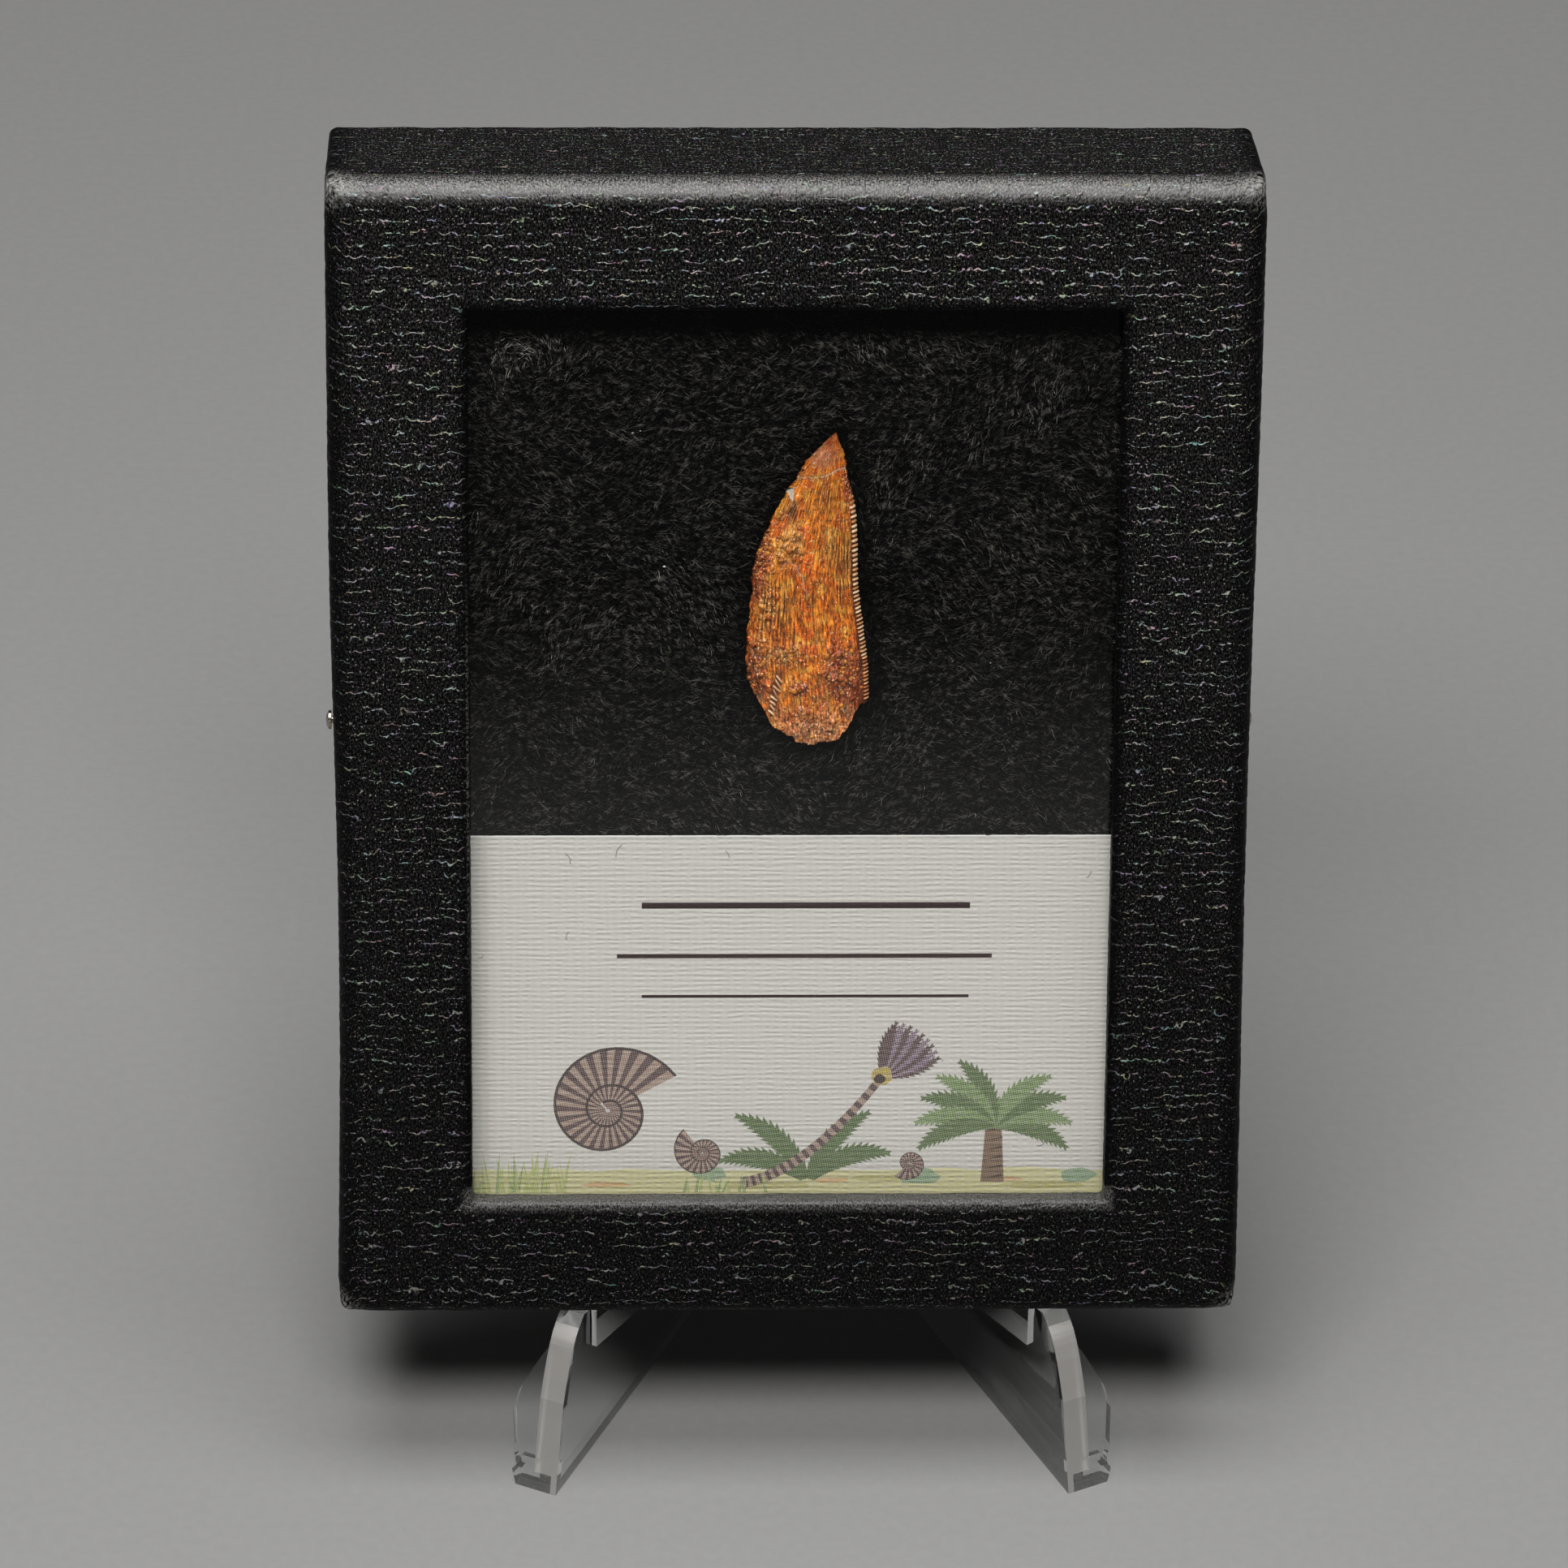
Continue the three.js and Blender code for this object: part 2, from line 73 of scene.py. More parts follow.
corner = TO_ROW @ Vector((BOX_WIDTH / 2, BOX_HEIGHT / 2, 0))
print("front top right corner in mm:", [round(1000 * c, 1) for c in corner])

# %% [markdown]
# ## Small helpers
#
# Every piece is finished the same way: its mesh is moved to its place, it gets a material, the
# CAD nodes it stands for are hidden, and it rides on the one body. The helpers for nodes keep
# the materials short to read: one makes a node, sets its options, and sets or links its inputs,
# and the others name the kinds used most.

# %% Helpers for meshes
def placed(name, data):
    """A new object in the scene, at the origin."""
    made = bpy.data.objects.new(name, data)
    bpy.context.scene.collection.objects.link(made)
    return made


def mesh_object(name, points, faces):
    mesh = bpy.data.meshes.new(name)
    mesh.from_pydata([tuple(p) for p in np.asarray(points, float).tolist()], [], faces)
    mesh.update()
    return placed(name, mesh)


def grid_faces(rows, columns, ring=False, loop=False):
    """The faces of a grid of points; a ring closes its rows, a loop joins the last row to the first."""
    faces = []
    for r in range(rows if loop else rows - 1):
        here, there = r * columns, (r + 1) % rows * columns
        for c in range(columns if ring else columns - 1):
            d = (c + 1) % columns
            faces.append((here + c, here + d, there + d, there + c))
    return faces


def positions(made):
    return np.array([v.co for v in made.data.vertices])


def move_points(made, points):
    made.data.vertices.foreach_set("co", points.ravel())


def field(made, name, values, kind="FLOAT"):
    """Keeps a number or a vector for every point of a mesh."""
    layer = made.data.attributes.new(name, kind, "POINT")
    values = np.asarray(values, np.float32)
    layer.data.foreach_set("value" if kind == "FLOAT" else "vector", values.ravel())


def what_it_makes(made, **options):
    """The plain mesh that an object's modifiers make of it."""
    graph = bpy.context.evaluated_depsgraph_get()
    return bpy.data.meshes.new_from_object(made.evaluated_get(graph), depsgraph=graph, **options)


# %% Helpers that finish a piece
def coat(made, *materials):
    made.data.materials.clear()
    for material in materials:
        made.data.materials.append(material)


def declare(made, slot, *nodes):
    """Hides the CAD nodes a piece stands for, and puts the piece on the body it rides on. Its slot is not
    used.
    """
    if nodes:
        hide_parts(*nodes)
    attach(made, "root")
    print(f"{made.name}: {len(made.data.polygons)} faces")


def finish_piece(made, material, slot, *nodes, smooth=True):
    made.data.transform(TO_ROW)
    coat(made, material)
    if smooth:
        made.data.shade_smooth()
    declare(made, slot, *nodes)

# %% Helpers for node trees
def put(socket, value):
    """Links a value to a socket, or sets the socket where the value is plain."""
    if isinstance(value, bpy.types.NodeSocket):
        socket.id_data.links.new(value, socket)
    else:
        socket.default_value = value


def feed(inputs, **values):
    for name, value in values.items():
        put(inputs[name.replace("_", " ")], value)


def add(tree, kind, inputs=None, **settings):
    made = tree.nodes.new(kind)
    for name, value in settings.items():
        setattr(made, name, value)
    for name, value in (inputs or {}).items():
        put(made.inputs[name], value)
    return made


def maths(tree, operation, *values):
    return add(tree, "ShaderNodeMath", dict(enumerate(values)), operation=operation).outputs[0]


def vectors(tree, operation, *values):
    return add(tree, "ShaderNodeVectorMath", dict(enumerate(values)), operation=operation).outputs[0]


def stretched(tree, place, scale):
    return vectors(tree, "MULTIPLY", place, scale)


def ramp(tree, value, low, high, start=0.0, end=1.0):
    """Goes smoothly from start to end while value goes from low to high."""
    inputs = dict(enumerate((value, low, high, start, end)))
    return add(tree, "ShaderNodeMapRange", inputs, interpolation_type="SMOOTHSTEP").outputs[0]


def blend(tree, share, first, second, way="MIX"):
    inputs = {0: share, 6: first, 7: second}
    return add(tree, "ShaderNodeMix", inputs, data_type="RGBA", blend_type=way).outputs[2]


def cloud(tree, place, scale=1.0, detail=2.0, output=0):
    inputs = {"Vector": place, "Scale": scale, "Detail": detail}
    return add(tree, "ShaderNodeTexNoise", inputs).outputs[output]


def apart(tree, vector):
    return add(tree, "ShaderNodeSeparateXYZ", {0: vector}).outputs


def together(tree, x=0.0, y=0.0, z=0.0):
    return add(tree, "ShaderNodeCombineXYZ", {0: x, 1: y, 2: z}).outputs[0]


# %% Helpers that read fields and draw lots
def kept(tree, name, output="Fac"):
    """What a field of the mesh says, in a material."""
    return add(tree, "ShaderNodeAttribute", attribute_name=name).outputs[output]


def named(tree, name, kind="FLOAT"):
    """What a field of the mesh says, in a geometry tree."""
    return add(tree, "GeometryNodeInputNamedAttribute", {"Name": name}, data_type=kind).outputs[0]


def chance(tree, low, high, seed):
    inputs = {2: low, 3: high, "Seed": seed}
    return add(tree, "FunctionNodeRandomValue", inputs, data_type="FLOAT").outputs[1]


def object_place(tree):
    return add(tree, "ShaderNodeTexCoord").outputs["Object"]


def box_place(tree):
    """Box millimetres at each point of a piece, from its Object coordinates."""
    back = BOX_TURN.transposed()
    inputs = {"Vector": object_place(tree), "Scale": (1000,) * 3, "Rotation": back.to_euler()}
    inputs["Location"] = -(back @ FACE_CENTRE)
    return add(tree, "ShaderNodeMapping", inputs).outputs[0]


def bump(tree, height):
    """A normal from a height in millimetres."""
    return add(tree, "ShaderNodeBump", {"Height": height, "Distance": 0.001}).outputs[0]

# %% Helpers for groups, materials and grown meshes
def sockets(tree, direction, wanted):
    for name, (kind, value) in wanted.items():
        made = tree.interface.new_socket(name, in_out=direction, socket_type="NodeSocket" + kind)
        if value is not None:
            made.default_value = value


def new_tree(name, kind, inputs, outputs):
    """A node group, the values it is given, and the inputs of its output."""
    tree = bpy.data.node_groups.new(name, kind)
    sockets(tree, "INPUT", inputs)
    sockets(tree, "OUTPUT", outputs)
    return tree, add(tree, "NodeGroupInput").outputs, add(tree, "NodeGroupOutput").inputs


def shader_group(name, inputs, *outputs):
    """A group for materials; each of its outputs is a number."""
    return new_tree(name, "ShaderNodeTree", inputs, {output: ("Float", None) for output in outputs})


def geometry_tree(name, inputs):
    geometry = {"Geometry": ("Geometry", None)}
    tree, given, out = new_tree(name, "GeometryNodeTree", {**geometry, **inputs}, geometry)
    return tree, given, out[0]


def new_material(name, **plain):
    """A material whose Principled shader has the given plain values."""
    made = bpy.data.materials.new(name)
    made.use_nodes = True
    shader = made.node_tree.nodes["Principled BSDF"].inputs
    feed(shader, **plain)
    return made, made.node_tree, shader


def grown(name, base, tree, values):
    """Runs a geometry tree on a base mesh and keeps what it makes as a plain mesh."""
    modifier = base.modifiers.new("grow", "NODES")
    modifier.node_group = tree
    for item in tree.interface.items_tree:
        if item.in_out == "INPUT" and item.name in values:
            modifier[item.identifier] = values[item.name]
    mesh = what_it_makes(base, preserve_all_data_layers=True)
    base.modifiers.remove(modifier)
    return placed(name, mesh)

# %% [markdown]
# ## The camera
#
# The camera comes first, so that every piece can be judged through it. It stands 0.7 m away with
# a long lens and looks down at the box by 35 degrees. Its turn is given against the face of the
# box: a small roll, then the tilt, then the swing.

# %% Set up the camera
FOCAL_IN_WIDTHS = 9496.94 / 1932
SENSOR = 36
VIEW_ROLL, VIEW_TILT, VIEW_SWING = -0.0083, 0.34288, 0.02883
BOX_SEEN_AT = Vector((0.75593, 1.79625, -704.59941))

camera = placed("camera", bpy.data.cameras.new("camera"))
camera.data.sensor_width = SENSOR
camera.data.lens = SENSOR * FOCAL_IN_WIDTHS
camera.data.clip_start = 0.01
turn = (
    Matrix.Rotation(VIEW_ROLL, 4, "Z")
    @ Matrix.Rotation(VIEW_TILT, 4, "X")
    @ Matrix.Rotation(VIEW_SWING, 4, "Y")
)
stand = FACE_CENTRE + BOX_TURN @ (turn.transposed() @ -BOX_SEEN_AT)
camera.matrix_world = Matrix.Translation(stand / 1000) @ BOX_TURN @ turn.transposed()
bpy.context.scene.camera = camera
print("camera at, in mm:", [round(c) for c in stand])

# %% [markdown]
# ## Floor and light
#
# A black object needs large soft lights: what reads as its shape is their reflection along its
# rounded edges. One broad panel stands high in front, a little to the left, and a long strip hangs
# over the top edge. The air of the studio is pale to the camera and dim to reflections, or the
# glass would lay a grey veil over the plush.

# %% Build the floor
FLOOR_REACH, FLOOR_STEPS = 1.6, 24


def floor_point(turn_share, reach):
    angle = 2 * math.pi * turn_share
    return (reach * math.cos(angle), reach * math.sin(angle), 0)


rims = [[floor_point(i / FLOOR_STEPS, r * FLOOR_REACH) for i in range(FLOOR_STEPS)] for r in (0.3, 1)]
floor_faces = [tuple(range(FLOOR_STEPS))]
for i in range(FLOOR_STEPS):
    j = (i + 1) % FLOOR_STEPS
    floor_faces.append((i, i + FLOOR_STEPS, j + FLOOR_STEPS, j))
floor = mesh_object("floor", rims[0] + rims[1], floor_faces)
floor_paint, tree, shader = new_material("floor_paper", Roughness=0.75)
fibre = cloud(tree, object_place(tree), 900, 3)
tone = blend(tree, fibre, (0.30, 0.30, 0.298, 1), (0.34, 0.34, 0.337, 1))
feed(shader, Base_Color=tone)
floor.data.materials.append(floor_paint)
print("floor:", len(floor.data.polygons), "faces")

# %% Hang the lights
TARGET = Vector((0, 0, 0.06))


def soft_panel(name, stand, size, power, tint=(1, 1, 1)):
    light = placed(name, bpy.data.lights.new(name, "AREA"))
    light.data.shape, light.data.size, light.data.size_y = "RECTANGLE", *size
    light.data.energy, light.data.color = power, tint
    light.location = stand
    light.rotation_euler = (TARGET - Vector(stand)).to_track_quat("-Z", "Y").to_euler()
    print(f"{name}: {power} W")


WARM = (1, 0.985, 0.965)
soft_panel("front_panel", stand=(-0.1, -0.49, 0.815), size=(0.55, 0.24), power=5.9, tint=WARM)
soft_panel("top_strip", stand=(0.0, -0.02, 0.75), size=(0.6, 0.3), power=3.0)

world = bpy.data.worlds.new("studio_air")
world.use_nodes = True
bpy.context.scene.world = world
tree = world.node_tree
seen = add(tree, "ShaderNodeLightPath").outputs["Is Camera Ray"]
AIR_REFLECTED, AIR_SEEN = (0.03, 0.03, 0.03, 1), (0.5, 0.5, 0.5, 1)
feed(tree.nodes["Background"].inputs, Color=blend(tree, seen, AIR_REFLECTED, AIR_SEEN))
bpy.context.scene.view_settings.view_transform = "Standard"

# %% [markdown]
# ## The leather paper
#
# The lid is covered in black paper embossed like leather: short wavy creases run across it in
# rows, and their raised lips are painted pale where the light catches them, partly as worn paper
# and partly as painted glints. The rows follow the sheet of paper, not space: on the sides and in
# the window the sheet turns a corner and the rows turn with it. So each point of the lid keeps its
# place on the flat sheet, in millimetres, and one function of nodes draws the creases from it. The
# function serves twice: in a geometry tree that gives the lid its lumps, and in a shader group
# that adds the fine lips and the grain.

# %% Nodes that draw rows of creases
def crease_rows(tree, sheet, spacing):
    """The place between two creases, from 0 to 1, and the number of the row."""
    drift = cloud(tree, stretched(tree, sheet, (0.1, 0.2, 1)), detail=1)
    drift = maths(tree, "MULTIPLY", drift, 2.2)
    wave = cloud(tree, stretched(tree, sheet, (0.5, 0.5, 1)), detail=1)
    wave = maths(tree, "MULTIPLY", wave, 0.9)
    cells = {"Vector": sheet, "Scale": 1.5}
    scallop = add(tree, "ShaderNodeTexVoronoi", cells).outputs["Distance"]
    scallop = maths(tree, "MULTIPLY", scallop, -0.42)
    row = maths(tree, "DIVIDE", apart(tree, sheet)[1], spacing)
    for part in (drift, wave, scallop):
        row = maths(tree, "ADD", row, part)
    return maths(tree, "FRACT", row), maths(tree, "FLOOR", row)


# %% The shader group for the leather paper
leather_group, given, out = shader_group(
    "leather_paper",
    {
        "Sheet": ("Vector", None),
        "Row spacing": ("Float", 1.15),
        "Crease depth": ("Float", 0.09),
        "Grain depth": ("Float", 0.04),
    },
    "Height", "Lip", "Grain",
)
tree = leather_group
between, row = crease_rows(tree, given["Sheet"], given["Row spacing"])
across = maths(tree, "MULTIPLY", apart(tree, given["Sheet"])[0], 0.5)
cuts = cloud(tree, together(tree, across, maths(tree, "MULTIPLY", row, 5.3)), detail=2)
run = ramp(tree, cuts, 0.46, 0.54)
rise = maths(tree, "DIVIDE", between, 0.9)
fall = maths(tree, "DIVIDE", maths(tree, "SUBTRACT", 1.0, between), 0.1)
lump = maths(tree, "MULTIPLY", maths(tree, "MINIMUM", rise, fall), run)
lip = maths(tree, "MULTIPLY", run, ramp(tree, between, 0.895, 0.93))
grain = cloud(tree, stretched(tree, given["Sheet"], (6.5, 3.6, 1)), detail=3)
height = maths(tree, "MULTIPLY", lump, given["Crease depth"])
height = maths(tree, "MULTIPLY_ADD", grain, given["Grain depth"], height)
feed(out, Height=height, Lip=lip, Grain=grain)
print("leather group:", len(tree.nodes), "nodes")

# %% The leather material
leather, tree, shader = new_material("black_leather_paper")
sheet = kept(tree, "sheet", "Vector")
worn, painted_light_share, polish_and_painted_highlight = (kept(tree, name) for name in ("worn", "painted_light_share", "polish_and_painted_highlight"))
marks = add(tree, "ShaderNodeGroup", {"Sheet": sheet}, node_tree=leather_group)
# The grain's tone, scaled by painted light: lighter towards the top, darker on the sides and near the
# window's edge.
grainy = maths(tree, "MULTIPLY", ramp(tree, marks.outputs["Grain"], 0.44, 0.74), painted_light_share)
black = blend(tree, grainy, (0.0012, 0.0012, 0.0016, 1), (0.052, 0.049, 0.047, 1))
# A painted highlight: a pale sheen along the top rounding and on the window sill.
shine = maths(tree, "MULTIPLY", polish_and_painted_highlight, ramp(tree, marks.outputs["Grain"], 0.44, 0.6))
black = blend(tree, shine, black, (0.2, 0.19, 0.18, 1))
# The pale lips and beads: partly worn paper, partly painted glints, in a tint of their own.
tint = cloud(tree, sheet, 0.9, 0, output=1)
pale = blend(tree, 0.55, (0.41, 0.42, 0.40, 1), tint, "OVERLAY")
gate = ramp(tree, cloud(tree, sheet, 3.2, 2), 0.4, 0.58)
beads = ramp(tree, cloud(tree, sheet, 4.2, 1), 0.66, 0.74)
lips = maths(tree, "MAXIMUM", maths(tree, "MULTIPLY", marks.outputs["Lip"], gate), beads)
lips = maths(tree, "MULTIPLY", lips, painted_light_share)
tone = blend(tree, lips, black, pale)
# Pale spots: wear at the corners, and a painted highlight at the top corners and along the window's left
# edge.
wear_and_highlight_share = maths(tree, "MULTIPLY", worn, ramp(tree, cloud(tree, sheet, 3, 3), 0.46, 0.58))
tone = blend(tree, wear_and_highlight_share, tone, (0.5, 0.49, 0.46, 1))
feed(shader, Base_Color=tone)
matt = ramp(tree, marks.outputs["Grain"], 0.3, 0.7, 0.42, 0.56)
feed(shader, Roughness=matt, Specular_IOR_Level=maths(tree, "MULTIPLY_ADD", polish_and_painted_highlight, 0.93, 0.05))
feed(shader, Normal=bump(tree, marks.outputs["Height"]))

# %% [markdown]
# ## The lid
#
# The lid is one board frame with a skirt, all of it wrapped. It could be a box with modifiers,
# but a stack of closed rings gives full control: the same number of points runs round the outside
# of the skirt, over the rounded edge, across the front, down into the window and back along the
# inside. Each ring is a rounded rectangle, so mitred corners and the pinch at the window's
# corners come out by themselves, and each point knows its place on the sheet.

# %% Rings of the lid
ACROSS_STEPS, UP_STEPS, CORNER_STEPS = 180, 240, 7


def rounded_ring(half_width, half_height, radius, middle=0.0):
    """Points of a rounded rectangle and, for each, the way the paper turns there."""
    points, ways = [], []
    sides = [(1, 1, UP_STEPS), (-1, 1, ACROSS_STEPS), (-1, -1, UP_STEPS), (1, -1, ACROSS_STEPS)]
    for quarter, (sx, sy, steps) in enumerate(sides):
        cx, cy = sx * (half_width - radius), sy * (half_height - radius)
        for i in range(CORNER_STEPS):
            angle = (quarter + i / CORNER_STEPS) * math.pi / 2
            points.append((cx + radius * math.cos(angle), cy + radius * math.sin(angle)))
            first = i <= CORNER_STEPS // 2
            side = (quarter + (0 if first else 1)) % 4
            ways.append([(1, 0), (0, 1), (-1, 0), (0, -1)][side])
        nx, ny, _ = sides[(quarter + 1) % 4]
        ex, ey = nx * (half_width - radius), ny * (half_height - radius)
        angle = (quarter + 1) * math.pi / 2
        ox, oy = radius * math.cos(angle), radius * math.sin(angle)
        steps = ACROSS_STEPS if quarter % 2 == 0 else UP_STEPS
        for i in range(steps):
            t = i / steps
            points.append((cx + ox + t * (ex - cx), cy + oy + t * (ey - cy)))
            ways.append([(0, 1), (-1, 0), (0, -1), (1, 0)][quarter])
    return np.array(points) + (0, middle), np.array(ways, float)


# %% The lid's outline from the skirt to the inside
FACE_ROUNDING, SIDE_ROUNDING, WALL, BOARD = 2.0, 0.9, 1.8, 2.2
INNER_ROUNDING, WINDOW_CORNER = 0.6, 0.45
rings, sheets, hidden = [], [], []
front_xy, front_ways = rounded_ring(
    BOX_WIDTH / 2 - FACE_ROUNDING, BOX_HEIGHT / 2 - FACE_ROUNDING, 0.15
)
inner_half = (WINDOW_WIDTH / 2 + INNER_ROUNDING, WINDOW_HEIGHT / 2 + INNER_ROUNDING)
inner_xy, inner_ways = rounded_ring(*inner_half, WINDOW_CORNER + INNER_ROUNDING, -WINDOW_DROP)


def keep_ring(xy, depth, sheet_xy, inside=0.0):
    rings.append(np.column_stack([xy, np.full(len(xy), depth)]))
    sheets.append(np.column_stack([sheet_xy, np.zeros(len(xy))]))
    hidden.append(np.full(len(xy), inside))


turn_length = FACE_ROUNDING * math.pi / 2
for depth in np.linspace(-BOX_DEPTH + 0.3, -FACE_ROUNDING, 32):
    xy, _ = rounded_ring(BOX_WIDTH / 2, BOX_HEIGHT / 2, SIDE_ROUNDING)
    keep_ring(xy, depth, front_xy + front_ways * (turn_length - depth - FACE_ROUNDING))
for angle in np.radians(np.linspace(0, 90, 10)[1:]):
    inset = FACE_ROUNDING * (1 - math.cos(angle))
    radius = SIDE_ROUNDING + (0.15 - SIDE_ROUNDING) * inset / FACE_ROUNDING
    xy, _ = rounded_ring(BOX_WIDTH / 2 - inset, BOX_HEIGHT / 2 - inset, radius)
    gone = turn_length * (1 - angle / (math.pi / 2))
    keep_ring(xy, FACE_ROUNDING * (math.sin(angle) - 1), front_xy + front_ways * gone)
for t in np.linspace(0, 1, 42)[1:]:
    xy = front_xy * (1 - t) + inner_xy * t
    keep_ring(xy, 0.0, xy)
for angle in np.radians(np.linspace(0, 90, 6)[1:]):
    inset = INNER_ROUNDING * (1 - math.sin(angle))
    half = (WINDOW_WIDTH / 2 + inset, WINDOW_HEIGHT / 2 + inset)
    xy, _ = rounded_ring(*half, WINDOW_CORNER + inset, -WINDOW_DROP)
    gone = INNER_ROUNDING * angle
    keep_ring(xy, INNER_ROUNDING * (math.cos(angle) - 1), inner_xy - inner_ways * gone)
for depth in np.linspace(-INNER_ROUNDING, -BOARD, 5)[1:]:
    keep_ring(xy, depth, inner_xy - inner_ways * (0.34 - depth))
cavity_xy, _ = rounded_ring(BOX_WIDTH / 2 - WALL, BOX_HEIGHT / 2 - WALL, 0.6)
for t in np.linspace(0, 1, 5)[1:]:
    keep_ring(xy * (1 - t) + cavity_xy * t, -BOARD, front_xy, 1.0)
for depth in np.linspace(-BOARD, -BOX_DEPTH + 0.2, 6)[1:]:
    keep_ring(cavity_xy, depth, front_xy + front_ways * -depth, 1.0)
for inset, wrapped in ((WALL - 0.3, 21.9), (0.3, 20.7)):
    xy, _ = rounded_ring(BOX_WIDTH / 2 - inset, BOX_HEIGHT / 2 - inset, 1.2)
    keep_ring(xy, -BOX_DEPTH, front_xy + front_ways * wrapped, 1.0)

around = len(front_xy)
print(f"lid: {len(rings)} rings of {around} points")

# %% Join the rings, and press in the sides and corners
lid_faces = grid_faces(len(rings), around, ring=True, loop=True)
lid_points, lid_sheet = np.concatenate(rings), np.concatenate(sheets)
inside = np.concatenate(hidden)
x, y, z = lid_points.T


def swell(value, middle, reach):
    """1 at the middle, falling smoothly to 0 at the reach."""
    return np.clip(1 - ((value - middle) / reach) ** 2, 0, 1) ** 2


FOLD_FROM, FOLD_TO, FOLD_DEPTH, FOLD_WIDTH = (42.4, 53.4), (38.9, 51.7), 0.28, 0.3
fold_x, fold_y = FOLD_TO[0] - FOLD_FROM[0], FOLD_TO[1] - FOLD_FROM[1]
along = ((np.abs(x) - FOLD_FROM[0]) * fold_x + (y - FOLD_FROM[1]) * fold_y) / (fold_x**2 + fold_y**2)
along = np.clip(along, 0, 1)
aside = np.hypot(np.abs(x) - FOLD_FROM[0] - along * fold_x, y - FOLD_FROM[1] - along * fold_y)
pinch = FOLD_DEPTH * np.exp(-((aside / FOLD_WIDTH) ** 2)) * (1 - along**2)
lid_points[:, 2] -= pinch * (z > -BOARD)
covering = inside < 0.5
# Polish and a painted highlight along the top rounding, cut off along the folds at the top corners.
top_polish_and_highlight = np.clip(1.4 - np.abs(z + 1.1) / 1.4, 0, 1) * covering
top_polish_and_highlight *= np.clip((y - BOX_HEIGHT / 2 + FACE_ROUNDING + 0.25) / 1.0, 0, 1)
top_polish_and_highlight *= np.clip((y - FOLD_TO[1] - (np.abs(x) - FOLD_TO[0]) * 0.5) / 0.5, 0, 1)
outer = np.clip((np.abs(x) - 37) / 5, 0, 1) * covering
left_dent, right_dent = 0.5 * swell(y, -20, 42), 0.22 * swell(y, -5, 45)
lid_points[:, 0] += outer * np.where(x < 0, left_dent, -right_dent)
print("lid:", len(lid_points), "points")

# %% Where the lid is worn and polished, and where light and shade are painted on it
# The lower corners are worn pale; at the top corners the pale spot is partly wear, partly a painted
# highlight.
WEAR_AND_HIGHLIGHT_CORNERS = [  # side, height, depth, amount
    (-42.25, -55, -2, 1.0), (42.25, -55, -2, 1.0), (-42.25, 55, -1.5, 0.8), (42.25, 55, -1.5, 0.7),
]
wear_and_highlight_spots = np.zeros(len(lid_points))
for *spot, amount in WEAR_AND_HIGHLIGHT_CORNERS:
    away = np.linalg.norm(lid_points - spot, axis=1)
    wear_and_highlight_spots = np.maximum(wear_and_highlight_spots, amount * np.clip(1.2 - away / 2.8, 0, 1))
# A painted highlight: a thin pale line along the window's left edge.
painted_reveal_highlight = np.clip(1 - np.abs(x + WINDOW_WIDTH / 2 + 0.18) / 0.22, 0, 1) * swell(y, -2, 26)
wear_and_highlight_spots = np.maximum(wear_and_highlight_spots, 0.3 * painted_reveal_highlight * covering * (z > -0.65))
lid_base = mesh_object("lid_base", lid_points, lid_faces)
field(lid_base, "sheet", lid_sheet, "FLOAT_VECTOR")
field(lid_base, "worn", wear_and_highlight_spots)
# Painted light on the grain and the pale lips: lighter towards the top, darker on the sides and near the
# window's edge.
side_gap = np.clip((BOX_WIDTH / 2 - np.abs(x)) / 2.6, 0.18, 1)
hole_gap = np.maximum(np.abs(x) - WINDOW_WIDTH / 2, np.abs(y + WINDOW_DROP) - WINDOW_HEIGHT / 2)
painted_top_light = np.clip(0.57 + 0.48 * (y + 30) / 85, 0.42, 1)
field(lid_base, "painted_light_share", painted_top_light * np.minimum(side_gap, np.clip((hole_gap - 0.2) / 1.1, 0.12, 1)))
# Polish and a painted highlight along the window sill.
sill_polish_and_highlight = np.clip(1.5 - np.abs(hole_gap - 0.25) / 0.6, 0, 1) * (y < 1 - WINDOW_HEIGHT / 2) * covering
field(lid_base, "polish_and_painted_highlight", np.maximum(top_polish_and_highlight, 0.6 * sill_polish_and_highlight * (z > -2.3)))
field(lid_base, "inside", inside)
print("fields:", ", ".join(sorted(a.name for a in lid_base.data.attributes if a.name[0] != ".")))

# %% [markdown]
# ## Lumps from a geometry tree
#
# The wrap is never flat: it swells a little between the creases and it is bruised at the lower
# corners. A geometry tree moves every point inwards along its normal by a height from the same
# rows as the material, so the two agree. Nothing moves outwards, because the box may not grow.

# %% Grow the lid's surface
emboss, given, result = geometry_tree(
    "leather_lumps",
    {
        "Row spacing": ("Float", 1.15),
        "Lump depth": ("Float", 0.05),
        "Bruise depth": ("Float", 0.5),
    },
)
tree = emboss
sheet, worn, lining = named(tree, "sheet", "FLOAT_VECTOR"), named(tree, "worn"), named(tree, "inside")
between, _ = crease_rows(tree, sheet, given["Row spacing"])
arch = maths(tree, "SINE", maths(tree, "MULTIPLY", between, math.pi))
swells = cloud(tree, sheet, 0.35, 1)
depth = maths(tree, "MULTIPLY", maths(tree, "SUBTRACT", 1.0, arch), given["Lump depth"])
depth = maths(tree, "MULTIPLY_ADD", swells, 0.12, depth)
position = add(tree, "GeometryNodeInputPosition").outputs[0]
crumbs = maths(tree, "MULTIPLY", cloud(tree, position, 1.6, 3), worn)
depth = maths(tree, "MULTIPLY_ADD", crumbs, given["Bruise depth"], depth)
depth = maths(tree, "MULTIPLY", depth, maths(tree, "SUBTRACT", 1.0, lining))
normal = add(tree, "GeometryNodeInputNormal").outputs[0]
scale = {0: normal, "Scale": maths(tree, "MULTIPLY", depth, -1.0)}
